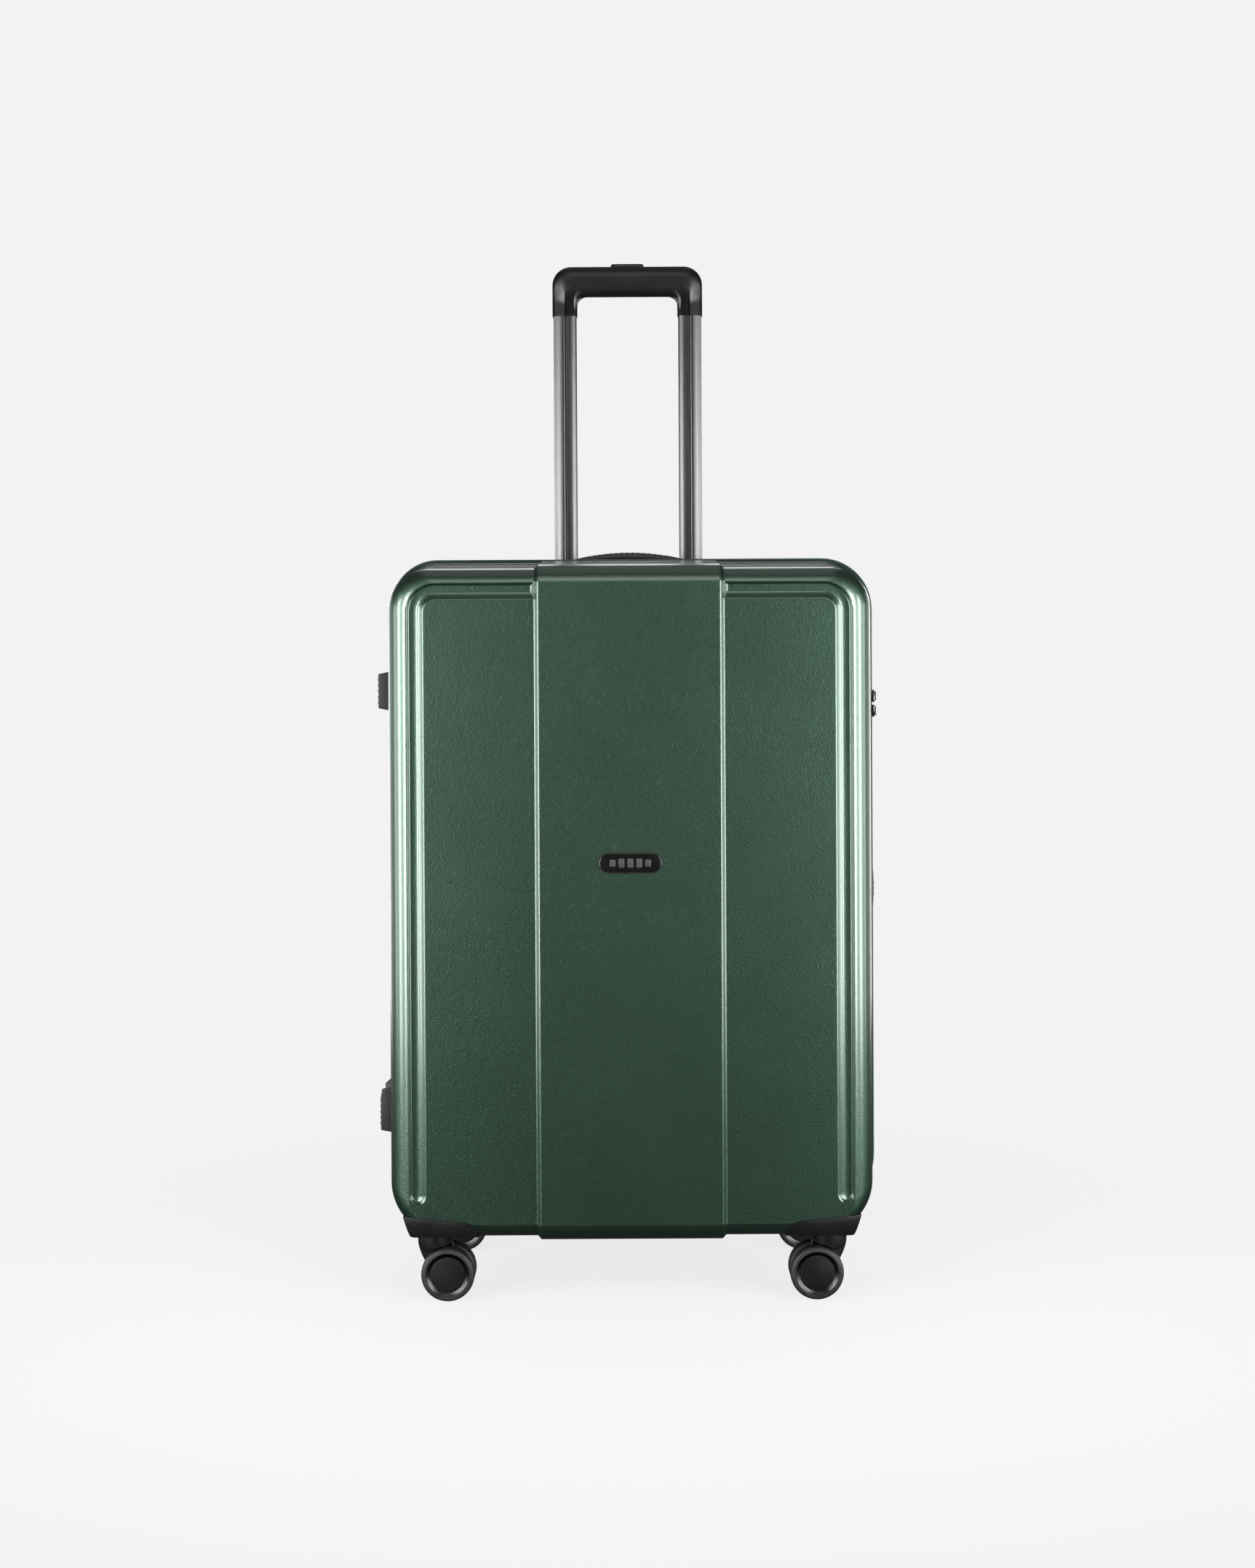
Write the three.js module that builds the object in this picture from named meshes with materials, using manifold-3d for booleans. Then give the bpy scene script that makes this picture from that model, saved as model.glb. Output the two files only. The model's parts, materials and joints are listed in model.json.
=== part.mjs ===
// Large hard shell suitcase on four swivel casters, standing upright with its pull handle extended.
// Millimetres. X runs across the case, Y from the front shell to the rear shell, Z up.
// The origin is on the floor under the middle of the case.
import * as THREE from 'three';
import { mergeVertices } from 'three/addons/utils/BufferGeometryUtils.js';
import Module from 'manifold-3d';

const wasm = await Module();
wasm.setup();

// ---- Driving dimensions ----
const HALF_SPAN = 268; // middle to the outermost point of the side feet and the side handle

// Outlines of one shell at the parting line, where the wall turns into the shoulder, and at the face
const RIM = { y: 0, halfWidth: 257, bottom: 66, top: 764, cornerTop: 50, cornerBottom: 60 };
const SHOULDER = { y: 130, halfWidth: 246, bottom: 71, top: 753, cornerTop: 42, cornerBottom: 56 };
const FACE = { y: 151, halfWidth: 226, bottom: 86, top: 738, cornerTop: 28, cornerBottom: 24 };
const WALL = 2.5;
const RIM_EDGE = 7; // parting line to the shell's edge
const BEAD = { height: 1.5, from: 8.5, to: 11, end: 12.5 };
const ARC_STEPS = 5;
const FIT = 0.4; // gap left around a piece that sits in a cut-out

const BAND = { halfWidth: 92.5, slope: 3.5, raise: 4, runOut: 4 }; // raised strip up the middle of each shell
const CHANNEL = { halfWidth: 8.25, legX: 217.25, topZ: 728.75, radius: 20.5, endZ: 108, depth: 4 };
const BADGE = { width: 65, height: 21.6, z: 453, recess: 2, plate: 1.6 };

const ZIP = { outer: 5.2, inner: 0.8, coil: 3.4, gap: 0.4 };
const SLIDER = { z: 612, offset: 8, halfLength: 6.8, barX: 266.2, barRadius: 0.7 };

const FOOT = { y: 38, halfDepth: 22, halfLength: 20.5, chamfer: 2.5, heights: [628, 183] };

const CARRY = { halfStrap: 10, thickness: 8, postIn: 61, postOut: 66, lip: 3, depth: 11 };
const CARRY_BASE = { halfLength: 78, halfWidth: 25.5, flange: 2.5, dishLength: 54, dishWidth: 22.5 };
const TOP_CARRY = { y: 42, rise: 13.6, radius: 240 };
const SIDE_CARRY = { y: 45, z: 410, radius: 240 };

const LOCK = { y: 30, z: 604, halfLength: 40, halfWidth: 13, depth: 10, proud: 5.5, portDepth: 1.2 };
const DIAL = { radius: 6, width: 5, proud: 1.2, across: 3, first: -26, pitch: 8, count: 3 };
const LOCK_BUTTON = { along: 30.5, halfLength: 4.5, halfWidth: 5, proud: 1.2 };

const TROLLEY = { y: 110, tubeX: 70.2, tubeWidth: 25.9, tubeDepth: 15.9, wall: 1.6 };
const TUBE = { bottom: 640, top: 1068 };
const GUIDE = { bottom: 92, top: 702, width: 30.4, depth: 20.4, bore: 0.35 };
const BEZEL = { halfWidth: 88, halfDepth: 13.5, wall: 2, floor: 712, top: 761.6, flange: 4 };
const GRIP = { halfWidth: 84.3, top: 1104.6, barBottom: 1071, bottom: 1051.5, leg: 28.4, depth: 24 };
const GRIP_BUTTON = { halfWidth: 18.3, halfDepth: 6.5, height: 12, proud: 2.4, travel: 2 };

const CASTER = { x: 204, y: 102, trail: 14 };
const WHEEL = { radius: 27.5, width: 17, tyreInner: 22.3, capRadius: 18.1, offset: 12.5, sides: 20 };
const AXLE = { radius: 3, clearance: 0.3, halfLength: 16.2, bossRadius: 9 };
const FORK = { hubRadius: 18, hubBottom: 50, hubTop: 67.7, pinRadius: 5, pinTop: 84, legHalf: 3.5 };
const HOUSING = { inner: 156, outer: 226, bottom: 69, front: 149.5, back: 62 };

const LINING = { gap: 0.6, cloth: 1.2, edge: 16 };
const HINGE_STRIP = { x: 252.9, cloth: 1.2, halfWidth: 15, bottom: 128, top: 712 };

// ---- Materials ----
function finish(color, roughness, metalness) {
  return new THREE.MeshStandardMaterial({ color, roughness, metalness });
}

const shellGreen = finish(0x3e5a4b, 0.38, 0.35);
const blackPlastic = finish(0x1b1c1d, 0.5, 0);
const blackGrip = finish(0x202122, 0.7, 0);
const blackRubber = finish(0x161616, 0.85, 0);
const glossBlack = finish(0x0c0d0e, 0.15, 0);
const greyMetal = finish(0x6a6d70, 0.35, 0.9);
const darkMetal = finish(0x3a3c3e, 0.35, 0.9);
const zipCloth = finish(0x2b4a3c, 0.8, 0);
const liningCloth = finish(0x3b3f41, 0.9, 0);

// ---- Solids ----
function signedVolume(geometry) {
  const p = geometry.getAttribute('position');
  const index = geometry.index;
  const [a, b, c] = [new THREE.Vector3(), new THREE.Vector3(), new THREE.Vector3()];
  let volume = 0;
  for (let i = 0; i < index.count; i += 3) {
    a.fromBufferAttribute(p, index.getX(i));
    b.fromBufferAttribute(p, index.getX(i + 1));
    c.fromBufferAttribute(p, index.getX(i + 2));
    volume += a.dot(b.cross(c)) / 6;
  }
  return volume;
}

// Only positions, shared corners merged, no collapsed triangles, faces pointing out.
function closed(geometry) {
  const bare = geometry.clone();
  for (const name of ['normal', 'uv']) {
    bare.deleteAttribute(name);
  }
  const merged = mergeVertices(bare, 1e-3);
  const kept = [];
  const v = merged.index.array;
  for (let i = 0; i < v.length; i += 3) {
    if (v[i] !== v[i + 1] && v[i + 1] !== v[i + 2] && v[i] !== v[i + 2]) {
      kept.push(v[i], v[i + 1], v[i + 2]);
    }
  }
  merged.setIndex(kept);
  if (signedVolume(merged) < 0) {
    merged.setIndex(kept.reverse());
  }
  return merged;
}

function solid(geometry) {
  const g = closed(geometry);
  return new wasm.Manifold(new wasm.Mesh({
    numProp: 3,
    vertProperties: Float32Array.from(g.getAttribute('position').array),
    triVerts: Uint32Array.from(g.index.array),
  }));
}

function join(...geometries) {
  return geometries.map(solid).reduce((a, b) => a.add(b));
}

function cut(body, ...tools) {
  return tools.reduce((a, b) => a.subtract(b), body);
}

function geometryOf(body) {
  const mesh = body.getMesh();
  const geometry = new THREE.BufferGeometry();
  geometry.setAttribute('position', new THREE.BufferAttribute(mesh.vertProperties, 3));
  geometry.setIndex(new THREE.BufferAttribute(mesh.triVerts, 1));
  return geometry;
}

// ---- Basic shapes ----
function box(x0, x1, y0, y1, z0, z1) {
  const g = new THREE.BoxGeometry(x1 - x0, y1 - y0, z1 - z0);
  return g.translate((x0 + x1) / 2, (y0 + y1) / 2, (z0 + z1) / 2);
}

function extrudeUp(shape, z0, z1, curveSegments = 5) {
  const g = new THREE.ExtrudeGeometry(shape, { depth: z1 - z0, bevelEnabled: false, curveSegments });
  return g.translate(0, 0, z0);
}

// A shape drawn in X and Z, extruded along Y.
function extrudeAlongY(shape, y0, y1, curveSegments = 5) {
  const g = extrudeUp(shape, 0, y1 - y0, curveSegments);
  return g.rotateX(Math.PI / 2).translate(0, y1, 0);
}

// A shape drawn in Y and Z, extruded along X.
function extrudeAlongX(shape, x0, x1, curveSegments = 5) {
  const turn = new THREE.Matrix4().makeBasis(
    new THREE.Vector3(0, 1, 0),
    new THREE.Vector3(0, 0, 1),
    new THREE.Vector3(1, 0, 0),
  );
  return extrudeUp(shape, x0, x1, curveSegments).applyMatrix4(turn);
}

function cylinderAlong(axis, radius, from, to, sides = 20) {
  const g = new THREE.CylinderGeometry(radius, radius, to - from, sides);
  g.translate(0, (from + to) / 2, 0);
  if (axis === 'x') {
    g.rotateZ(-Math.PI / 2);
  }
  if (axis === 'z') {
    g.rotateX(Math.PI / 2);
  }
  return g;
}

function roundedRectangle(halfWidth, halfHeight, radius, path = new THREE.Shape()) {
  const [x, y] = [halfWidth - radius, halfHeight - radius];
  path.absarc(x, -y, radius, -Math.PI / 2, 0);
  path.absarc(x, y, radius, 0, Math.PI / 2);
  path.absarc(-x, y, radius, Math.PI / 2, Math.PI);
  path.absarc(-x, -y, radius, Math.PI, Math.PI * 1.5);
  path.closePath();
  return path;
}

// Side faces between rings of points, with the cap outline triangulated over both ends.
function skin(rings, capOutline) {
  const n = rings[0].length;
  const faces = [];
  for (let i = 0; i + 1 < rings.length; i += 1) {
    for (let k = 0; k < n; k += 1) {
      const next = (k + 1) % n;
      const [a, b, c, d] = [i * n + k, i * n + next, (i + 1) * n + next, (i + 1) * n + k];
      faces.push(a, b, c, a, c, d);
    }
  }
  const end = (rings.length - 1) * n;
  const clockwise = THREE.ShapeUtils.isClockWise(capOutline);
  for (const triangle of THREE.ShapeUtils.triangulateShape(capOutline, [])) {
    const [a, b, c] = clockwise ? [...triangle].reverse() : triangle;
    faces.push(c, b, a, end + a, end + b, end + c);
  }
  const geometry = new THREE.BufferGeometry();
  const points = rings.flat().flatMap((p) => [p.x, p.y, p.z]);
  geometry.setAttribute('position', new THREE.Float32BufferAttribute(points, 3));
  geometry.setIndex(faces);
  return closed(geometry);
}

// ---- Shell outlines ----
function between(a, b, t) {
  return Object.fromEntries(Object.keys(a).map((key) => [key, a[key] + (b[key] - a[key]) * t]));
}

function wallAt(y) {
  return { ...between(RIM, SHOULDER, y / SHOULDER.y), y };
}

// Ring of points round a shell's outline, grown outwards; side is -1 in the front, 1 in the rear.
function outlineRing(outline, side, grow) {
  const points = [];
  const corners = [[1, -1, -90], [1, 1, 0], [-1, 1, 90], [-1, -1, 180]];
  for (const [sx, sz, start] of corners) {
    const inner = sz > 0 ? outline.cornerTop : outline.cornerBottom;
    const x = sx * (outline.halfWidth - inner);
    const z = sz > 0 ? outline.top - inner : outline.bottom + inner;
    for (let i = 0; i <= ARC_STEPS; i += 1) {
      const angle = THREE.MathUtils.degToRad(start + (90 * i) / ARC_STEPS);
      const r = inner + grow;
      points.push(new THREE.Vector3(x + r * Math.cos(angle), side * outline.y, z + r * Math.sin(angle)));
    }
  }
  return points;
}

// Outlines over the shoulder of a tray that is grown by the given amount.
function shoulderOutlines(grow) {
  return [0, 30, 60, 90].map((degrees) => {
    const angle = THREE.MathUtils.degToRad(degrees);
    const outline = between(SHOULDER, FACE, 1 - Math.cos(angle));
    outline.y = SHOULDER.y + (FACE.y - SHOULDER.y + grow) * Math.sin(angle);
    return outline;
  });
}

function tray(side, startY, grow, lip = []) {
  const rings = [
    ...lip.map(([y, extra]) => outlineRing(wallAt(y), side, grow + extra)),
    outlineRing(wallAt(startY), side, grow),
    ...shoulderOutlines(grow).map((outline) => outlineRing(outline, side, grow)),
  ];
  return skin(rings, rings[0].map((p) => new THREE.Vector2(p.x, p.z)));
}

function bandRing(side, y, top, bottom) {
  const climb = (BAND.slope * Math.max(0, y - FACE.y)) / BAND.raise;
  const wide = BAND.halfWidth + BAND.slope - climb;
  const narrow = wide - BAND.slope;
  const low = BAND.raise + 0.5;
  const corners = [
    [narrow, bottom], [wide, bottom + low], [wide, top - low], [narrow, top],
    [-narrow, top], [-wide, top - low], [-wide, bottom + low], [-narrow, bottom],
  ];
  return corners.map(([x, z]) => new THREE.Vector3(x, side * y, z));
}

// The raised strip, which starts flush near the edge and wraps over the shoulder to the face.
function band(side) {
  const rings = [[BEAD.end + 0.5, 0], [BEAD.end + 0.5 + BAND.runOut, BAND.raise]].map(([y, raise]) => {
    const wall = wallAt(y);
    return bandRing(side, y, wall.top + raise, wall.bottom - raise);
  });
  for (const outline of shoulderOutlines(0)) {
    const y = outline.y + BAND.raise;
    rings.push(bandRing(side, y, outline.top + BAND.raise, outline.bottom - BAND.raise));
  }
  return skin(rings, rings[0].map((p) => new THREE.Vector2(p.x, p.z)));
}

// A section swept from the band along the top, round the corner and down the side.
// Section points are [outwards from the channel's middle line, depth below the face].
function channelSweep(side, sx, section, extra) {
  const stops = [{ x: BAND.halfWidth - extra, z: CHANNEL.topZ, nx: 0, nz: 1 }];
  for (let i = 0; i <= ARC_STEPS; i += 1) {
    const angle = (Math.PI / 2) * (1 - i / ARC_STEPS);
    const [nx, nz] = [Math.cos(angle), Math.sin(angle)];
    stops.push({
      x: CHANNEL.legX - CHANNEL.radius * (1 - nx),
      z: CHANNEL.topZ - CHANNEL.radius * (1 - nz),
      nx,
      nz,
    });
  }
  stops.push({ x: CHANNEL.legX, z: CHANNEL.endZ - extra, nx: 1, nz: 0 });
  const rings = stops.map(({ x, z, nx, nz }) => section.map(([out, depth]) => new THREE.Vector3(
    sx * (x + nx * out),
    side * (FACE.y - depth),
    z + nz * out,
  )));
  return skin(rings, section.map(([out, depth]) => new THREE.Vector2(out, depth)));
}

const half = CHANNEL.halfWidth;
const channelSection = [
  [half, -3], [half, 0], [half - 2, 3.2], [2, CHANNEL.depth], [-1.5, 3.4], [-half, 0], [-half, -3],
];
const ribSection = [
  [half + WALL, -1], [half + WALL, 3], [half - 0.5, 6.2], [-2.5, 6.5], [-half - WALL, 2.8], [-half - WALL, -1],
];

function plainShell(side) {
  const lip = [[RIM_EDGE, 0.4], [BEAD.from, BEAD.height], [BEAD.to, BEAD.height]];
  const outside = cut(
    solid(tray(side, BEAD.end, 0, lip)),
    ...[-1, 1].map((sx) => solid(channelSweep(side, sx, channelSection, 0))),
  ).add(solid(band(side)));
  const face = side * (FACE.y + BAND.raise - WALL);
  const back = side * SHOULDER.y;
  const strip = box(
    3 - BAND.halfWidth, BAND.halfWidth - 3, Math.min(face, back), Math.max(face, back),
    FACE.bottom + 6, FACE.top - 6,
  );
  const inside = cut(
    join(tray(side, RIM_EDGE - 2, -WALL), strip),
    ...[-1, 1].map((sx) => solid(channelSweep(side, sx, ribSection, WALL))),
  );
  return outside.subtract(inside);
}

// ---- Frames on the drafted walls: x along the piece, y out of the wall ----
const DRAFT = Math.atan((RIM.top - SHOULDER.top) / SHOULDER.y);

function wallFrame(along, outward, x, y, z) {
  const across = new THREE.Vector3().crossVectors(along, outward);
  return new THREE.Matrix4().makeBasis(along, outward, across).setPosition(x, y, z);
}

const acrossCase = new THREE.Vector3(1, 0, 0);
const upwards = new THREE.Vector3(0, 0, 1);
const topNormal = new THREE.Vector3(0, Math.sin(DRAFT), Math.cos(DRAFT));

function sideNormal(sx, side) {
  return new THREE.Vector3(sx * Math.cos(DRAFT), side * Math.sin(DRAFT), 0);
}

function sideFrame(sx, side, y, z) {
  return wallFrame(upwards, sideNormal(sx, side), sx * wallAt(y).halfWidth, side * y, z);
}

const topCarryFrame = wallFrame(
  acrossCase, topNormal, 0, TOP_CARRY.y, wallAt(TOP_CARRY.y).top + BAND.raise,
);
const sideCarryFrame = sideFrame(1, 1, SIDE_CARRY.y, SIDE_CARRY.z);
const lockFrame = sideFrame(1, 1, LOCK.y, LOCK.z);

// ---- Casters ----
function housingShape(grow, skirt) {
  const shape = new THREE.Shape();
  const inner = HOUSING.inner - grow;
  const low = HOUSING.bottom - skirt;
  shape.moveTo(inner, low);
  shape.lineTo(inner, 72);
  shape.bezierCurveTo(inner + 1, 80 + grow, inner + 7, 88.5 + grow, inner + 17, 88.8 + grow);
  shape.lineTo(HOUSING.outer + 7 + grow, 94.5 + grow);
  if (skirt > 0) {
    shape.lineTo(HOUSING.outer + 7 + grow, low);
  } else {
    shape.lineTo(HOUSING.outer, HOUSING.bottom + 3);
    shape.lineTo(HOUSING.outer - 4, low);
  }
  shape.closePath();
  return shape;
}

function mirrored(geometry, sx, side) {
  return closed(closed(geometry).scale(sx, side, 1));
}

// The shell's corner is cut away where a housing fills it.
function cornerCut(sx, side) {
  return solid(mirrored(extrudeAlongY(housingShape(FIT, 20), HOUSING.back - FIT, 160), sx, side));
}

function casterHousing(sx, side) {
  const block = extrudeAlongY(housingShape(0, 0), HOUSING.back, HOUSING.front);
  const profile = new THREE.Shape();
  profile.moveTo(HOUSING.back - 1, HOUSING.bottom - 1);
  profile.lineTo(HOUSING.front - 15, HOUSING.bottom - 1);
  profile.quadraticCurveTo(HOUSING.front - 2, HOUSING.bottom + 1, HOUSING.front, HOUSING.bottom + 14);
  profile.lineTo(HOUSING.front, 110);
  profile.lineTo(HOUSING.back - 1, 110);
  profile.closePath();
  const bore = cylinderAlong('z', FORK.pinRadius + FIT, HOUSING.bottom - 2, FORK.pinTop + 1.5);
  bore.translate(CASTER.x, CASTER.y, 0);
  const rounded = solid(block).intersect(solid(extrudeAlongX(profile, 140, 250)));
  return mirrored(geometryOf(rounded.subtract(solid(bore))), sx, side);
}

function wheelCentre() {
  return [CASTER.x - CASTER.trail, CASTER.y, WHEEL.radius];
}

function casterFork(sx, side) {
  const [wx, wy, wz] = wheelCentre();
  const hub = cylinderAlong('z', FORK.hubRadius, FORK.hubBottom, FORK.hubTop, 18);
  const pin = cylinderAlong('z', FORK.pinRadius, FORK.hubTop - 1, FORK.pinTop, 12);
  const outer = CASTER.x + FORK.hubRadius - 0.5;
  const leg = new THREE.Shape();
  leg.moveTo(wx - 3, FORK.hubTop - 1);
  leg.lineTo(outer, FORK.hubTop - 1);
  leg.lineTo(outer, 56);
  leg.bezierCurveTo(outer, 44, wx + 20, 30, wx + 8, wz - 5);
  leg.absarc(wx, wz, AXLE.bossRadius, -0.6, -Math.PI, true);
  leg.bezierCurveTo(wx - AXLE.bossRadius, 40, wx - 6, 52, wx - 3, FORK.hubTop - 1);
  const web = extrudeAlongY(leg, wy - FORK.legHalf, wy + FORK.legHalf, 4);
  hub.translate(CASTER.x, CASTER.y, 0);
  pin.translate(CASTER.x, CASTER.y, 0);
  const clear = [-1, 1].map((end) => {
    const room = cylinderAlong('y', WHEEL.radius + 1.5, FORK.legHalf, 30);
    return solid(closed(room).scale(1, end, 1).translate(wx, wy, wz));
  });
  const bore = cylinderAlong('y', AXLE.radius + AXLE.clearance, -10, 10, 12).translate(wx, wy, wz);
  return mirrored(geometryOf(cut(join(hub, pin).subtract(clear[0]).subtract(clear[1])
    .add(solid(web)), solid(bore))), sx, side);
}

function lathe(points, sides) {
  return new THREE.LatheGeometry(points.map(([r, y]) => new THREE.Vector2(r, y)), sides);
}

// Profiles run along the axle; end is 1 where the wheel's cap faces +Y and -1 where it faces -Y.
function tyre(end) {
  const [w, r, t] = [WHEEL.width / 2, WHEEL.radius, WHEEL.tyreInner];
  const loop = [[t, -w], [r - 1.7, -w], [r, 2 - w], [r, w - 2], [r - 1.7, w], [t, w], [t, -w]];
  return closed(lathe(loop, WHEEL.sides)).translate(0, end * WHEEL.offset, 0);
}

function hub(end) {
  const [w, r, c] = [WHEEL.width / 2 - 0.2, WHEEL.tyreInner - 0.3, AXLE.radius + AXLE.clearance];
  const loop = [[0, w - 2], [WHEEL.capRadius, w - 2], [r, w], [r, -w], [c, -w], [c, 4], [0, 4]];
  return closed(lathe(loop.map(([x, y]) => [x, end * (y + WHEEL.offset)]), WHEEL.sides));
}

// ---- Zip ----
// Half of the zip, from under the shell's edge out to the coil that stands proud of it. It starts
// and ends on the hinge side, just round the corners.
const zipSection = [
  [15, -5.3], [15, -4.2], [6.3, -3.7], [ZIP.coil, 0.4], [ZIP.coil, ZIP.outer - 0.6],
  [ZIP.coil - 0.7, ZIP.outer], [ZIP.gap, ZIP.outer], [ZIP.gap, ZIP.inner], [1.8, 0], [5.2, -5],
];

function zipHalf(side) {
  const stops = [];
  const corners = [[-1, 1, 180], [1, 1, 90], [1, -1, 0], [-1, -1, -90]];
  for (const [sx, sz, start] of corners) {
    const radius = sz > 0 ? RIM.cornerTop : RIM.cornerBottom;
    const level = sz > 0 ? RIM.top : RIM.bottom;
    for (let i = 0; i <= ARC_STEPS; i += 1) {
      const angle = THREE.MathUtils.degToRad(start - (90 * i) / ARC_STEPS);
      const [nx, nz] = [Math.cos(angle), Math.sin(angle)];
      stops.push({
        x: sx * (RIM.halfWidth - radius) + radius * nx,
        z: level - sz * radius + radius * nz,
        nx,
        nz,
      });
    }
  }
  const rings = stops.map(({ x, z, nx, nz }) => zipSection.map(([y, out]) => new THREE.Vector3(
    x + nx * out,
    side * y,
    z + nz * out,
  )));
  return skin(rings, zipSection.map(([y, out]) => new THREE.Vector2(y, out)));
}

function zipSlider() {
  const inner = RIM.halfWidth + ZIP.outer + FIT;
  const outer = inner + 1.5;
  const h = SLIDER.halfLength;
  const ears = [-1, 1].map((end) => box(
    outer - 0.5, SLIDER.barX + 1.2, -1.6, 1.6, end * 4.4 - 0.6, end * 4.4 + 0.6,
  ));
  const bar = cylinderAlong('z', SLIDER.barRadius, -4.5, 4.5, 12).translate(SLIDER.barX, 0, 0);
  return geometryOf(join(
    box(inner, outer, -5, 5, -h, h),
    box(inner - 3.6, inner + 0.5, ZIP.coil + FIT, 5, -h, h),
    ...ears,
    bar,
  ));
}

function zipPull() {
  const outline = new THREE.Shape();
  outline.moveTo(0.5, -3);
  outline.lineTo(4, -3);
  outline.bezierCurveTo(7, -4.4, 10, -4.4, 18, -4.2);
  outline.absarc(18, 0, 4.2, -Math.PI / 2, Math.PI / 2);
  outline.bezierCurveTo(10, 4.4, 7, 4.4, 4, 3);
  outline.lineTo(0.5, 3);
  outline.closePath();
  const loop = new THREE.Path();
  loop.absellipse(13.5, 0, 6, 2.4, 0, Math.PI * 2);
  outline.holes.push(loop);
  const plate = extrudeAlongX(outline, SLIDER.barX - 0.7, SLIDER.barX + 0.7, 4);
  const eye = cylinderAlong('z', 1.6, -3.4, 3.4, 12).translate(SLIDER.barX, 0, 0);
  const bore = cylinderAlong('z', SLIDER.barRadius + 0.3, -6, 6, 12).translate(SLIDER.barX, 0, 0);
  return geometryOf(cut(join(plate, eye), solid(bore)));
}

// ---- Carry handles, in a wall frame ----
function carryStrap({ rise, radius }) {
  const { postIn, postOut, lip, depth, thickness } = CARRY;
  const shape = new THREE.Shape();
  const end = Math.asin(postOut / radius);
  shape.absarc(0, rise - radius, radius, Math.PI / 2 - end, Math.PI / 2 + end);
  shape.lineTo(-postOut, 2 - depth);
  shape.lineTo(-postOut - lip, 2 - depth);
  shape.lineTo(-postOut - lip, -depth);
  shape.lineTo(-postIn, -depth);
  const low = rise - radius + Math.sqrt(radius ** 2 - postOut ** 2) - 2.2;
  const sag = rise - thickness - low;
  const under = (postIn ** 2 + sag ** 2) / (2 * sag);
  const turn = Math.asin(postIn / under);
  const middle = rise - thickness - under;
  shape.absarc(0, middle, under, Math.PI / 2 + turn, Math.PI / 2 - turn, true);
  shape.lineTo(postIn, -depth);
  shape.lineTo(postOut + lip, -depth);
  shape.lineTo(postOut + lip, 2 - depth);
  shape.lineTo(postOut, 2 - depth);
  shape.closePath();
  return extrudeUp(shape, -CARRY.halfStrap, CARRY.halfStrap, 10);
}

function carryBase() {
  const { halfLength, halfWidth, flange, dishLength, dishWidth } = CARRY_BASE;
  const { postIn, postOut, lip, depth, halfStrap } = CARRY;
  const outer = roundedRectangle(halfLength + flange, halfWidth + flange, 8);
  const rim = extrudeUp(outer, 0.3, 1.8, 3).rotateX(-Math.PI / 2);
  const well = box(-halfLength, halfLength, -depth - 3, 1, -halfWidth, halfWidth);
  const dish = box(-dishLength, dishLength, 1 - depth, 5, -dishWidth, dishWidth);
  const wide = halfStrap + FIT;
  const slots = [-1, 1].flatMap((end) => {
    const [a, b, c] = [postIn - FIT, postOut + FIT, postOut + lip + FIT].map((u) => end * u);
    return [
      box(Math.min(a, b), Math.max(a, b), -depth - 1, 4, -wide, wide),
      box(Math.min(a, c), Math.max(a, c), -depth - 1, -0.4, -wide, wide),
    ];
  });
  return geometryOf(cut(join(rim, well), solid(dish), ...slots.map(solid)));
}

function carryCut(frame) {
  const { halfLength: l, halfWidth: w } = CARRY_BASE;
  return solid(box(-l - FIT, l + FIT, -20, 2, -w - FIT, w + FIT).applyMatrix4(frame));
}

// ---- Lock, in its wall frame ----
function lockBody() {
  const { halfLength: l, halfWidth: w, depth, proud, portDepth } = LOCK;
  const face = roundedRectangle(l + 1.5, w + 0.8, 4);
  const rim = extrudeUp(face, 0.3, proud, 3).rotateX(-Math.PI / 2);
  const block = box(-l, l, -depth, 1, -w, w);
  const dials = Array.from({ length: DIAL.count }, (_, i) => {
    const u = DIAL.first + i * DIAL.pitch;
    const room = cylinderAlong('x', DIAL.radius + 0.5, u - DIAL.width / 2 - FIT, u + DIAL.width / 2 + FIT);
    return solid(room.translate(0, dialHeight(), DIAL.across));
  });
  const { along, halfLength: bl, halfWidth: bw } = LOCK_BUTTON;
  const pocket = box(along - bl - FIT, along + bl + FIT, -4, proud + 1, -bw - FIT, bw + FIT);
  const port = box(-4, 20, proud - portDepth, proud + 1, -w - 2, 2);
  return geometryOf(cut(join(rim, block), ...dials, solid(pocket), solid(port)));
}

function dialHeight() {
  return LOCK.proud + DIAL.proud - DIAL.radius;
}

function lockDial() {
  const [r, w] = [DIAL.radius, DIAL.width / 2];
  const points = [[0, -w], [r - 0.5, -w], [r, 0.5 - w], [r, w - 0.5], [r - 0.5, w], [0, w]];
  return closed(lathe(points, 20)).rotateZ(-Math.PI / 2);
}

function lockCut() {
  const { halfLength: l, halfWidth: w } = LOCK;
  return solid(box(-l - FIT, l + FIT, -20, 2, -w - FIT, w + FIT).applyMatrix4(lockFrame));
}

// ---- Pull handle ----
function tubeOutline(grow) {
  return roundedRectangle(TROLLEY.tubeWidth / 2 + grow, TROLLEY.tubeDepth / 2 + grow, 6 + grow);
}

function innerTube() {
  const outline = tubeOutline(0);
  outline.holes.push(tubeOutline(-TROLLEY.wall));
  return extrudeUp(outline, TUBE.bottom, TUBE.top, 3);
}

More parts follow.
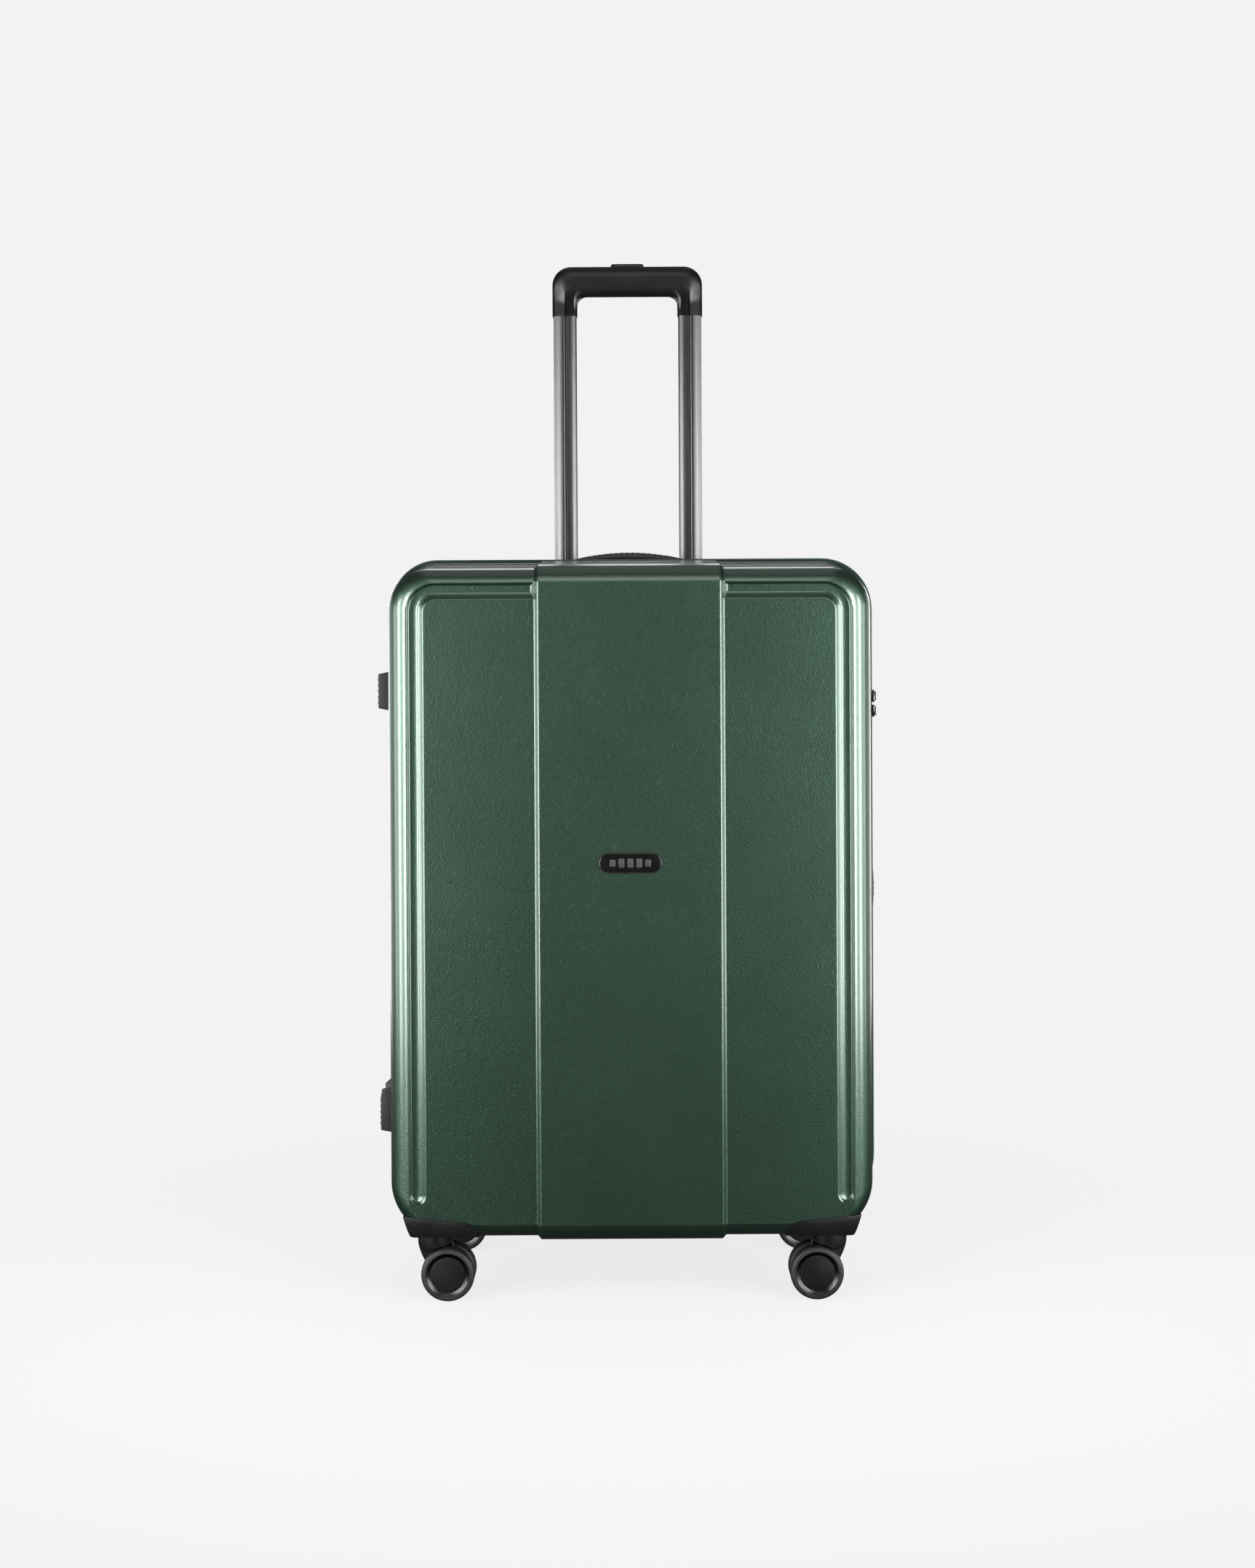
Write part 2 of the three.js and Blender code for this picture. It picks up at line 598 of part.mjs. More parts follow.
// Two guide tubes welded to a foot rail at the bottom of the case.
function trolleyGuide() {
  const rail = box(-88, 88, TROLLEY.y - 9, TROLLEY.y + 9, GUIDE.bottom - 8, GUIDE.bottom + 0.5);
  const tubes = [-1, 1].map((sx) => {
    const outer = roundedRectangle(GUIDE.width / 2, GUIDE.depth / 2, 8);
    outer.holes.push(tubeOutline(GUIDE.bore));
    return extrudeUp(outer, GUIDE.bottom, GUIDE.top, 3).translate(sx * TROLLEY.tubeX, TROLLEY.y, 0);
  });
  return geometryOf(join(rail, ...tubes));
}

function bezelSolid(grow) {
  const { halfWidth, halfDepth, wall, floor, top, flange } = BEZEL;
  const cup = roundedRectangle(halfWidth + wall + grow, halfDepth + wall + grow, 9 + grow);
  const plate = roundedRectangle(halfWidth + flange + grow, halfDepth + flange + grow, 11 + grow);
  const height = 5 + grow;
  return join(
    extrudeUp(cup, floor - 3 - grow, top + grow, 3).translate(0, TROLLEY.y, 0),
    extrudeUp(plate, top - height, top + grow, 3).translate(0, TROLLEY.y, 0),
  );
}

function trolleyBezel() {
  const room = extrudeUp(roundedRectangle(BEZEL.halfWidth, BEZEL.halfDepth, 7), BEZEL.floor, 780, 3);
  const holes = [-1, 1].map((sx) => {
    const hole = extrudeUp(tubeOutline(FIT), 690, 730, 3);
    return solid(hole.translate(sx * TROLLEY.tubeX, TROLLEY.y, 0));
  });
  return geometryOf(cut(bezelSolid(0), solid(room.translate(0, TROLLEY.y, 0)), ...holes));
}

function grip() {
  const { halfWidth, top, barBottom, bottom, leg, depth } = GRIP;
  const inner = halfWidth - leg;
  const shape = new THREE.Shape();
  shape.moveTo(halfWidth - 1, bottom);
  shape.lineTo(halfWidth, bottom + 8);
  shape.absarc(halfWidth - 20, top - 20, 20, 0, Math.PI / 2);
  shape.absarc(20 - halfWidth, top - 20, 20, Math.PI / 2, Math.PI);
  shape.lineTo(-halfWidth, bottom + 8);
  shape.lineTo(1 - halfWidth, bottom);
  shape.lineTo(-inner, bottom);
  shape.lineTo(-inner, barBottom - 6);
  shape.lineTo(6 - inner, barBottom);
  shape.lineTo(inner - 6, barBottom);
  shape.lineTo(inner, barBottom - 6);
  shape.lineTo(inner, bottom);
  shape.closePath();
  const u = extrudeAlongY(shape, -depth / 2, depth / 2, 5);
  const edge = roundedRectangle(halfWidth + 20, depth / 2, 5);
  const sockets = [-1, 1].map((sx) => {
    const socket = extrudeUp(tubeOutline(FIT), bottom - 2, TUBE.top + FIT, 3);
    return solid(socket.translate(sx * TROLLEY.tubeX, 0, 0));
  });
  const { halfWidth: bw, halfDepth: bd, height, travel } = GRIP_BUTTON;
  const pocket = extrudeUp(roundedRectangle(bw + FIT, bd + FIT, 5), top - height - travel, top + 5, 4);
  const body = solid(u).intersect(solid(extrudeUp(edge, bottom - 5, top + 5, 3)));
  return geometryOf(cut(body, ...sockets, solid(pocket))).translate(0, TROLLEY.y, 0);
}

function gripButton() {
  const { halfWidth, halfDepth, height, proud } = GRIP_BUTTON;
  const outline = roundedRectangle(halfWidth, halfDepth, 5);
  const button = extrudeUp(outline, GRIP.top + proud - height, GRIP.top + proud, 4);
  return button.translate(0, TROLLEY.y, 0);
}

// ---- Side feet, in a wall frame ----
function sideFoot() {
  const { halfDepth, halfLength, chamfer, y } = FOOT;
  const reach = HALF_SPAN - wallAt(y).halfWidth - halfDepth * Math.sin(DRAFT);
  const height = reach / Math.cos(DRAFT);
  const shape = new THREE.Shape();
  shape.moveTo(-halfLength, 0.3);
  shape.lineTo(halfLength, 0.3);
  shape.lineTo(halfLength, height * 0.45);
  shape.lineTo(halfLength - chamfer, height);
  shape.lineTo(chamfer - halfLength, height);
  shape.lineTo(-halfLength, height * 0.45);
  shape.closePath();
  return extrudeUp(shape, -halfDepth, halfDepth);
}

// ---- Lining ----
function grownBox(frame, l, v0, v1, w, grow) {
  return solid(box(-l - grow, l + grow, v0 - grow, v1 + grow, -w - grow, w + grow).applyMatrix4(frame));
}

// Rooms that the lining wraps round: the casters, and in the rear the handles, the lock and the tubes.
function rooms(side, grow) {
  const list = [-1, 1].map((sx) => {
    const block = box(
      HOUSING.inner - 2 - grow, RIM.halfWidth + 5, HOUSING.back - 2 - grow, 160, 40, 97 + grow,
    );
    return solid(mirrored(block, sx, side));
  });
  if (side > 0) {
    const { halfWidth, halfDepth, wall, floor } = BEZEL;
    const w = halfWidth + wall + 1 + grow;
    const front = TROLLEY.y - halfDepth - wall - 1 - grow;
    list.push(
      grownBox(topCarryFrame, CARRY_BASE.halfLength + 1, -CARRY.depth - 4, 9, CARRY_BASE.halfWidth + 1, grow),
      grownBox(sideCarryFrame, CARRY_BASE.halfLength + 1, -CARRY.depth - 4, 9, CARRY_BASE.halfWidth + 1, grow),
      grownBox(lockFrame, LOCK.halfLength + 1, -LOCK.depth - 1, 9, LOCK.halfWidth + 1, grow),
      solid(box(-w, w, front, 170, floor - 4 - grow, 790)),
      solid(box(-w, w, front, 170, GUIDE.bottom - 10 - grow, floor + 10)),
    );
  }
  return list;
}

function lining(side) {
  const outer = solid(tray(side, LINING.edge, -WALL - LINING.gap));
  const inner = solid(tray(side, LINING.edge - 2, -WALL - LINING.gap - LINING.cloth));
  const ribs = (grow, extra) => [-1, 1].map((sx) => solid(channelSweep(
    side,
    sx,
    [[-half - grow, -2], [half + grow, -2], [half + grow, 6 + grow], [-half - grow, 6 + grow]],
    extra,
  )));
  const near = WALL + LINING.gap;
  const room = cut(inner, ...rooms(side, LINING.cloth), ...ribs(near + LINING.cloth, near + LINING.cloth));
  return geometryOf(cut(outer, room, ...rooms(side, 0), ...ribs(near, near)));
}

// ---- The suitcase ----
const group = new THREE.Group();

function add(name, geometry, material, frame) {
  const mesh = new THREE.Mesh(geometry, material);
  mesh.name = name;
  if (frame) {
    mesh.applyMatrix4(frame);
  }
  group.add(mesh);
}

function at(x, y, z) {
  return new THREE.Matrix4().makeTranslation(x, y, z);
}

const SIDES = [['front', -1], ['rear', 1]];
const HANDS = [['left', -1], ['right', 1]];

const badgeRoom = extrudeAlongY(
  roundedRectangle(BADGE.width / 2, BADGE.height / 2, BADGE.height / 2),
  -FACE.y - BAND.raise - 1,
  -FACE.y - BAND.raise + BADGE.recess,
  8,
).translate(0, 0, BADGE.z);
const badgeBack = box(-40, 40, 1 - BAND.raise - FACE.y, 3 - FACE.y, BADGE.z - 18, BADGE.z + 18);

for (const [name, side] of SIDES) {
  const corners = HANDS.map(([, sx]) => cornerCut(sx, side));
  const body = cut(plainShell(side), ...corners);
  const finished = side > 0
    ? cut(body, carryCut(topCarryFrame), carryCut(sideCarryFrame), lockCut(), bezelSolid(FIT))
    : cut(body.add(solid(badgeBack)), solid(badgeRoom));
  add(`${name}_shell`, geometryOf(finished), shellGreen);
  add(`${name}_zip`, zipHalf(side), zipCloth);
  add(`${name}_lining`, lining(side), liningCloth);
  FOOT.heights.forEach((z, i) => {
    const level = ['upper', 'lower'][i];
    add(`${name}_${level}_foot`, sideFoot(), blackPlastic, sideFrame(-1, side, FOOT.y, z));
  });
  for (const [hand, sx] of HANDS) {
    const [wx, wy, wz] = wheelCentre();
    const place = at(sx * wx, side * wy, wz);
    const corner = `${name}_${hand}`;
    add(`${corner}_caster_housing`, casterHousing(sx, side), blackPlastic);
    add(`${corner}_caster_fork`, casterFork(sx, side), blackPlastic);
    add(`${corner}_axle`, cylinderAlong('y', AXLE.radius, -AXLE.halfLength, AXLE.halfLength, 12), darkMetal, place);
    for (const [which, end] of [['outer', side], ['inner', -side]]) {
      add(`${corner}_${which}_tyre`, tyre(end), blackRubber, place);
      add(`${corner}_${which}_hub`, hub(end), greyMetal, place);
    }
  }
}

add('badge', extrudeAlongY(
  roundedRectangle(BADGE.width / 2 - FIT, BADGE.height / 2 - FIT, BADGE.height / 2 - FIT),
  -FACE.y - BAND.raise + BADGE.recess - 0.3 - BADGE.plate,
  -FACE.y - BAND.raise + BADGE.recess - 0.3,
  8,
), glossBlack, at(0, 0, BADGE.z));

add('top_handle', carryStrap(TOP_CARRY), blackGrip, topCarryFrame);
add('top_handle_base', carryBase(), blackPlastic, topCarryFrame);
// The strap's front edge is the outermost point of the case on this side.
const sideReach = HALF_SPAN - wallAt(SIDE_CARRY.y).halfWidth - CARRY.halfStrap * Math.sin(DRAFT);
const sideStrap = { rise: sideReach / Math.cos(DRAFT), radius: SIDE_CARRY.radius };
add('side_handle', carryStrap(sideStrap), blackGrip, sideCarryFrame);
add('side_handle_base', carryBase(), blackPlastic, sideCarryFrame);

for (const [name, end] of [['upper', 1], ['lower', -1]]) {
  const place = at(0, 0, SLIDER.z + end * SLIDER.offset);
  add(`${name}_zip_slider`, zipSlider(), darkMetal, place);
  add(`${name}_zip_pull`, zipPull(), darkMetal, place);
}

add('lock_body', lockBody(), blackPlastic, lockFrame);
for (let i = 0; i < DIAL.count; i += 1) {
  const shift = at(DIAL.first + i * DIAL.pitch, dialHeight(), DIAL.across);
  add(`lock_dial_${i + 1}`, lockDial(), blackPlastic, lockFrame.clone().multiply(shift));
}
const lockButton = box(
  LOCK_BUTTON.along - LOCK_BUTTON.halfLength, LOCK_BUTTON.along + LOCK_BUTTON.halfLength,
  -0.5, LOCK.proud + LOCK_BUTTON.proud, -LOCK_BUTTON.halfWidth, LOCK_BUTTON.halfWidth,
);
add('lock_button', lockButton, greyMetal, lockFrame);

add('trolley_bezel', trolleyBezel(), blackPlastic);
add('trolley_guide', trolleyGuide(), greyMetal);
for (const [hand, sx] of HANDS) {
  add(`${hand}_pull_tube`, innerTube(), greyMetal, at(sx * TROLLEY.tubeX, TROLLEY.y, 0));
}
add('grip', grip(), blackGrip);
add('grip_button', gripButton(), blackPlastic);

add('hinge_strip', box(
  -HINGE_STRIP.x, HINGE_STRIP.cloth - HINGE_STRIP.x,
  -HINGE_STRIP.halfWidth, HINGE_STRIP.halfWidth,
  HINGE_STRIP.bottom, HINGE_STRIP.top,
), liningCloth);

export default group;
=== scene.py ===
"""Looks for the hard shell suitcase: studio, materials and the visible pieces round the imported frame."""

import json
import math

import bmesh
import bpy
import numpy as np
from mathutils import Matrix, Vector
from mathutils import noise as geometry_noise


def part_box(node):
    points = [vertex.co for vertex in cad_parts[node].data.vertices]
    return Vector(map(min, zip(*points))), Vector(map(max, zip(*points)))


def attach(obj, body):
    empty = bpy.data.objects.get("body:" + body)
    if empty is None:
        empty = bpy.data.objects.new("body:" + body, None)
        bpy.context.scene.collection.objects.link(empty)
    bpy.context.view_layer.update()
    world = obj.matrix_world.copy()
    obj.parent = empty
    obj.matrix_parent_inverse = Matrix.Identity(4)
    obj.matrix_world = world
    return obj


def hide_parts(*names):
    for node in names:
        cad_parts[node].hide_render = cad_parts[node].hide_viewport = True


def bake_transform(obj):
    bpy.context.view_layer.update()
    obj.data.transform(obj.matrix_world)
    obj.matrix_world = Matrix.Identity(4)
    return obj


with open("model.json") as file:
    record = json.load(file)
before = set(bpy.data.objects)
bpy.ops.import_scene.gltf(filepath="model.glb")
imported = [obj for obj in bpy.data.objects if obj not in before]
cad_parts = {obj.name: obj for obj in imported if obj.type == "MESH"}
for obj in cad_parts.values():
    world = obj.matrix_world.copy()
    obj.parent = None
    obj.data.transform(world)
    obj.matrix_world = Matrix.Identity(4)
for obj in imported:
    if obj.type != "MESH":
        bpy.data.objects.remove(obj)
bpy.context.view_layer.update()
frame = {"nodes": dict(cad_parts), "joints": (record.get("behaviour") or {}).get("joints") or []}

MM = 0.001
SIDES = (("front", -1), ("rear", 1))
HANDS = (("left", -1), ("right", 1))

# ---------------------------------------------------------------- dimensions, in millimetres
# The shell outlines: parting line, start of the shoulder, edge of the face, inner edge of the channel
RIM = dict(y=0, half=257, bottom=66, top=764, r_top=50, r_bottom=60)
SHOULDER = dict(y=130, half=246, bottom=71, top=753, r_top=42, r_bottom=56)
FACE = dict(y=151, half=226, bottom=86, top=738, r_top=28, r_bottom=24)
INNER = dict(y=151, half=206.5, bottom=105.5, top=718.5, r_top=9.5, r_bottom=4.5)
WALL = 2.4
BAND_RAISE = 4
CHANNEL_X, CHANNEL_Z, CHANNEL_R, CHANNEL_END = 217.25, 728.75, 20.5, 108
CHANNEL_HALF = 8.25
SHOULDER_ARC = math.radians(79)
FLAT_COSINE = 0.99999
DRAFT = math.atan((RIM["top"] - SHOULDER["top"]) / SHOULDER["y"])
WHEEL_R, WHEEL_X = 27.5, 190
SWIVEL_X, SWIVEL_Y = 204, 102
TROLLEY_Y, TUBE_X = 110, 70.2
SIDE_REACH = 268  # how far feet and side handle stand out from the middle
BADGE_Z = 453
FOOT_Y, FOOT_HEIGHTS = 38, (("upper", 628), ("lower", 183))
ZIP_STATIONS, ZIP_TEETH = 420, 815
GRIP_DROP, GRIP_INSIDE = 3, 1071  # below the CAD grip's legs; height of the underside of the bar

# studio and shell finish
PALE = 0.888
FLOOR_ALBEDO, FLOOR_GLOW = 0.12, 0.77
FRONT_GREY, TOP_GREY = 0.03, 0.10
STRIP_REACH, STRIP_WIDE = 1.6, 0.36
STRIPS = ((32, 0.63, 1.2, 31.0), (58, 0.60, 1.2, 24.0), (82, 0.50, 0.9, 6.0))
REAR_SHARE = 0.2
KEY_POWER, TOP_POWER, BACK_POWER = 6.0, 2.0, 1.5
SHELL_COLOUR, SHELL_METAL, SHELL_ROUGH = (0.029, 0.064, 0.042), 0.92, 0.38
SHELL_COAT, SHELL_COAT_ROUGH, SHELL_COAT_IOR = 1.0, 0.22, 1.62
CAMERA = dict(lens=50.9, shift_y=-0.0507, at=(-0.002, -2.395, 0.633), pitch=0.5, roll=0.3)


def node_box(node):
    """A CAD node's box in millimetres."""
    low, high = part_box(node)
    return low / MM, high / MM


def joint(name):
    return next(j for j in frame["joints"] if j["name"] == name)


# ---------------------------------------------------------------- materials
def fill(node, **values):
    """Sets a node's sockets by name, with underscores for spaces."""
    for socket, value in values.items():
        node.inputs[socket.replace("_", " ")].default_value = value


class Tree:
    """The nodes of a material or a world."""

    def __init__(self, owner, shader, **values):
        owner.use_nodes = True
        self.owner, self.nodes, self.links = owner, owner.node_tree.nodes, owner.node_tree.links
        self.shader = self.nodes[shader]
        fill(self.shader, **values)

    def add(self, kind, **values):
        node = self.nodes.new("ShaderNode" + kind)
        fill(node, **values)
        return node

    def link(self, output, node, socket):
        self.links.new(output, node.inputs[socket])

    def coords(self, kind="Object"):
        return self.add("TexCoord").outputs[kind]

    def math(self, operation, *terms, kind="Math", output=0):
        """A sum or product; a term that is a constant goes on the socket itself."""
        node = self.add(kind)
        node.operation = operation
        for i, term in enumerate(terms):
            if isinstance(term, bpy.types.NodeSocket):
                self.link(term, node, i)
            else:
                node.inputs[i].default_value = term
        return node.outputs[output]

    def noise(self, scale, detail=3.0, roughness=0.5, stretch=(1, 1, 1), output="Fac"):
        """Noise in the object's own coordinates."""
        mapping = self.add("Mapping", Scale=stretch)
        texture = self.add("TexNoise", Scale=scale, Detail=detail, Roughness=roughness)
        self.link(self.coords(), mapping, "Vector")
        self.link(mapping.outputs["Vector"], texture, "Vector")
        return texture.outputs[output]

    def ramp(self, factor, stops, socket):
        """Colours or greys along a factor, fed to one of the shader's sockets."""
        node = self.add("ValToRGB")
        elements = node.color_ramp.elements
        while len(elements) < len(stops):
            elements.new(0.5)
        for element, (place, value) in zip(elements, stops):
            element.position = place
            element.color = (*value, 1) if isinstance(value, tuple) else (value, value, value, 1)
        self.link(factor, node, "Fac")
        self.link(node.outputs["Color"], self.shader, socket)

    def bump(self, height, strength, distance):
        node = self.add("Bump", Strength=strength, Distance=distance)
        self.link(height, node, "Height")
        self.link(node.outputs["Normal"], self.shader, "Normal")


def material_tree(name, **values):
    return Tree(bpy.data.materials.new(name), "Principled BSDF", **values)


def plain_material(name, low, high, rough, metallic=0.0, grain=1500, bump=0.1, coat=0.0, specular=0.5):
    """Moulded or metal surface: colour mottled between low and high, roughness from rough[0] to rough[1]."""
    tree = material_tree(
        name, Metallic=metallic, Coat_Weight=coat, Coat_Roughness=0.12, Specular_IOR_Level=specular,
    )
    mottle = tree.noise(45, 4)
    tree.ramp(mottle, [(0.35, low), (0.7, high)], "Base Color")
    tree.ramp(mottle, [(0.3, rough[0]), (0.75, rough[1])], "Roughness")
    tree.bump(tree.noise(grain, 2), bump, 0.0002)
    return tree.owner


def shell_material():
    """Satin metallic green polycarbonate with a leather grain."""
    tree = material_tree(
        "shell_green", Metallic=SHELL_METAL, Roughness=SHELL_ROUGH, Coat_Weight=SHELL_COAT,
        Coat_Roughness=SHELL_COAT_ROUGH, Coat_IOR=SHELL_COAT_IOR,
    )
    low, high = (tuple(c * k for c in SHELL_COLOUR) for k in (0.93, 1.07))
    tree.ramp(tree.noise(9, 3), [(0.3, low), (0.7, high)], "Base Color")
    cells = tree.add("TexVoronoi", Scale=560)
    cells.feature = "SMOOTH_F1"
    warp = tree.noise(130, 2, output="Color")
    warped = tree.math("MULTIPLY_ADD", warp, (0.006, 0.006, 0.006), tree.coords(), kind="VectorMath")
    tree.link(warped, cells, "Vector")
    grain = tree.math("ADD", cells.outputs["Distance"], tree.noise(900, 3))
    tree.bump(grain, 0.45, 0.0005)
    return tree.owner


def brushed_material(name, colour, rough, axis_stretch):
    """Anodised metal with fine streaks along one axis."""
    tree = material_tree(name, Metallic=1.0)
    streaks = tree.noise(900, 3, 0.6, axis_stretch)
    dark = tuple(c * 0.82 for c in colour)
    tree.ramp(streaks, [(0.3, dark), (0.7, colour)], "Base Color")
    tree.ramp(streaks, [(0.2, rough - 0.06), (0.8, rough + 0.08)], "Roughness")
    tree.bump(streaks, 0.06, 0.0001)
    return tree.owner


def woven_material(name, low, high, count, bump=0.5, sheen=0.2):
    """Plain weave: two crossed wave textures, skewed so that both show on walls facing any way."""
    tree = material_tree(name, Roughness=0.85, Sheen_Weight=sheen, Specular_IOR_Level=0.2)
    waves = []
    for direction, turn in (("X", (0, 0, 45)), ("Z", (45, 0, 0))):
        mapping = tree.add("Mapping", Rotation=[math.radians(a) for a in turn])
        wave = tree.add("TexWave", Scale=count, Distortion=0.6)
        wave.bands_direction = direction
        tree.link(tree.coords(), mapping, "Vector")
        tree.link(mapping.outputs["Vector"], wave, "Vector")
        waves.append(wave.outputs["Fac"])
    cross = tree.math("MULTIPLY", *waves)
    total = tree.math("MULTIPLY_ADD", tree.noise(60, 3), 0.5, cross)
    tree.ramp(total, [(0.15, low), (0.9, high)], "Base Color")
    tree.bump(cross, bump, 0.0004)
    return tree.owner


def grip_material():
    """Soft black plastic that turns glossy on the legs, below the bar."""
    low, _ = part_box("grip")
    tree = material_tree("grip_black", Specular_IOR_Level=0.3)
    split = tree.add("SeparateXYZ")
    tree.link(tree.coords(), split, "Vector")
    rise = tree.add("MapRange", From_Min=low.z + 0.012, From_Max=low.z + 0.030, To_Min=0.17, To_Max=0.34)
    tree.link(split.outputs["Z"], rise, "Value")
    tree.link(rise.outputs["Result"], tree.shader, "Roughness")
    tree.ramp(tree.noise(60, 3), [(0.3, 0.003), (0.7, 0.0045)], "Base Color")
    tree.bump(tree.noise(1400, 2), 0.08, 0.0002)
    return tree.owner


GREEN = shell_material()
BLACK = plain_material(
    "moulded_black", (0.004, 0.004, 0.0045), (0.006, 0.006, 0.0065), (0.30, 0.38), bump=0.18, specular=0.35,
)
DARK_GREY = plain_material(
    "foot_grey", (0.012, 0.012, 0.013), (0.017, 0.017, 0.018), (0.5, 0.62), bump=0.3, specular=0.35,
)
SOFT = plain_material("soft_black", (0.005, 0.005, 0.0055), (0.008, 0.008, 0.008), (0.5, 0.6), bump=0.2)
RUBBER = plain_material(
    "tyre_black", (0.005, 0.005, 0.005), (0.008, 0.008, 0.008), (0.5, 0.62), grain=900, bump=0.12,
)
CAP = plain_material(
    "cap_black", (0.003, 0.003, 0.0035), (0.005, 0.005, 0.005), (0.36, 0.44), bump=0.1, specular=0.25,
)
INK = plain_material("badge_ink", (0.018, 0.0175, 0.017), (0.024, 0.023, 0.022), (0.45, 0.55), bump=0.0)
GLOSS = plain_material(
    "gloss_black", (0.003, 0.003, 0.003), (0.004, 0.004, 0.004), (0.08, 0.14), bump=0.0, coat=1.0,
)
RING = plain_material(
    "ring_chrome", (0.03, 0.03, 0.031), (0.042, 0.042, 0.043), (0.26, 0.34), metallic=1.0, bump=0.03,
)
STEEL = plain_material(
    "dark_steel", (0.16, 0.16, 0.165), (0.22, 0.22, 0.225), (0.18, 0.28), metallic=1.0, bump=0.03,
)
BRIGHT = plain_material(
    "bright_trim", (0.5, 0.52, 0.51), (0.6, 0.62, 0.61), (0.16, 0.24), metallic=1.0, bump=0.02,
)
ALUMINIUM = brushed_material("tube_grey", (0.10, 0.10, 0.104), 0.32, (1, 1, 0.02))
TAPE = woven_material("zip_tape", (0.005, 0.012, 0.008), (0.014, 0.030, 0.021), 260, 0.3, 0.0)
COIL = plain_material(
    "zip_coil", (0.02, 0.042, 0.03), (0.03, 0.056, 0.042), (0.38, 0.48), bump=0.05, specular=0.3,
)
LINING = woven_material("lining_grey", (0.012, 0.013, 0.0145), (0.05, 0.054, 0.058), 210)
WEB = woven_material("web_black", (0.006, 0.006, 0.006), (0.025, 0.025, 0.026), 420, 0.8)
GRIP = grip_material()


# ---------------------------------------------------------------- mesh helpers
def mesh_object(name, points, faces, material, smooth=35, matrix=None):
    """A mesh from points in millimetres, normals outwards, sharp above the given angle."""
    mesh = bpy.data.meshes.new(name)
    mesh.from_pydata([tuple(c * MM for c in p) for p in points], [], faces)
    bm = bmesh.new()
    bm.from_mesh(mesh)
    bmesh.ops.remove_doubles(bm, verts=bm.verts, dist=1e-6)
    bmesh.ops.dissolve_degenerate(bm, edges=bm.edges, dist=1e-7)
    bmesh.ops.recalc_face_normals(bm, faces=bm.faces)
    bm.to_mesh(mesh)
    bm.free()
    if matrix is not None:
        mesh.transform(matrix)
    mesh.materials.append(material)
    obj = bpy.data.objects.new(name, mesh)
    bpy.context.scene.collection.objects.link(obj)
    shade(obj, smooth)
    return obj


def shade(obj, angle):
    obj.data.shade_smooth()
    obj.data.set_sharp_from_angle(angle=math.radians(angle))


def baked(obj, angle=35):
    """Applies every modifier."""
    bpy.context.view_layer.update()
    depsgraph = bpy.context.evaluated_depsgraph_get()
    mesh = bpy.data.meshes.new_from_object(obj.evaluated_get(depsgraph))
    obj.modifiers.clear()
    old = obj.data
    obj.data = mesh
    bpy.data.meshes.remove(old)
    shade(obj, angle)
    return obj


def bevelled(obj, width, segments=2, angle=35, smooth=40):
    """Rounds every edge sharper than the angle, by width in millimetres."""
    bevel = obj.modifiers.new("bevel", "BEVEL")
    bevel.width = width * MM
    bevel.segments = segments
    bevel.limit_method = "ANGLE"
    bevel.angle_limit = math.radians(angle)
    return baked(obj, smooth)


def cut_by(obj, *cutters, operation="DIFFERENCE"):
    for cutter in cutters:
        boolean = obj.modifiers.new("cut", "BOOLEAN")
        boolean.operation = operation
        boolean.solver = "EXACT"
        boolean.object = cutter
        baked(obj)
        bpy.data.objects.remove(cutter)
    return obj


def named(obj, name):
    obj.name = name
    return obj


def stacked(levels):
    """Rings for a skin from pairs of an outline and its height."""
    return [[(x, y, z) for x, y in loop] for loop, z in levels]


def joined(name, *parts):
    """One object from several, with all their material slots."""
    bpy.ops.object.select_all(action="DESELECT")
    for part in parts:
        part.select_set(True)
    bpy.context.view_layer.objects.active = parts[0]
    bpy.ops.object.join()
    parts[0].name = name
    parts[0].data.name = name
    return parts[0]


def strip_faces(rings, columns, close_rings=False, close_columns=True):
    """Quads over a grid of points stored ring by ring."""
    faces = []
    for i in range(rings if close_rings else rings - 1):
        j = (i + 1) % rings
        for k in range(columns if close_columns else columns - 1):
            n = (k + 1) % columns
            faces.append((i * columns + k, i * columns + n, j * columns + n, j * columns + k))
    return faces


def skin(name, rings, material, closed=False, smooth=35, matrix=None):
    """A tube over rings of points, capped at both ends unless it closes on itself."""
    count = len(rings[0])
    faces = strip_faces(len(rings), count, closed)
    if not closed:
        faces.append(tuple(range(count)))
        faces.append(tuple(range((len(rings) - 1) * count, len(rings) * count)))
    return mesh_object(name, [p for ring in rings for p in ring], faces, material, smooth, matrix)


def prism(name, outline, low, high, plane, material, bevel=0.0, segments=2, matrix=None):
    """An outline drawn in the plane's two axes and extruded along the third, in millimetres."""
    order = {
        "xz": lambda a, b, c: (a, c, b), "yz": lambda a, b, c: (c, a, b), "xy": lambda a, b,
        c: (a, b, c),
    }
    place = order[plane]
    rings = [[place(a, b, c) for a, b in outline] for c in (low, high)]
    obj = skin(name, rings, material, smooth=30, matrix=matrix)
    return bevelled(obj, bevel, segments) if bevel else obj


def lathe(name, profile, centre, axis, material, steps=64, matrix=None):
    """A profile of (radius, along) pairs turned about an axis through centre; it starts and ends on
    the axis or closes on itself."""
    turn = {
        "x": lambda r, h, c, s: (h, r * c, r * s),
        "y": lambda r, h, c, s: (r * c, h, r * s),
        "z": lambda r, h, c, s: (r * c, r * s, h),
    }[axis]
    points = []
    for i in range(steps):
        angle = 2 * math.pi * i / steps
        c, s = math.cos(angle), math.sin(angle)
        points += [tuple(a + b for a, b in zip(centre, turn(r, h, c, s))) for r, h in profile]
    closed = profile[0][0] > 0
    faces = strip_faces(steps, len(profile), True, closed)
    return mesh_object(name, points, faces, material, matrix=matrix)


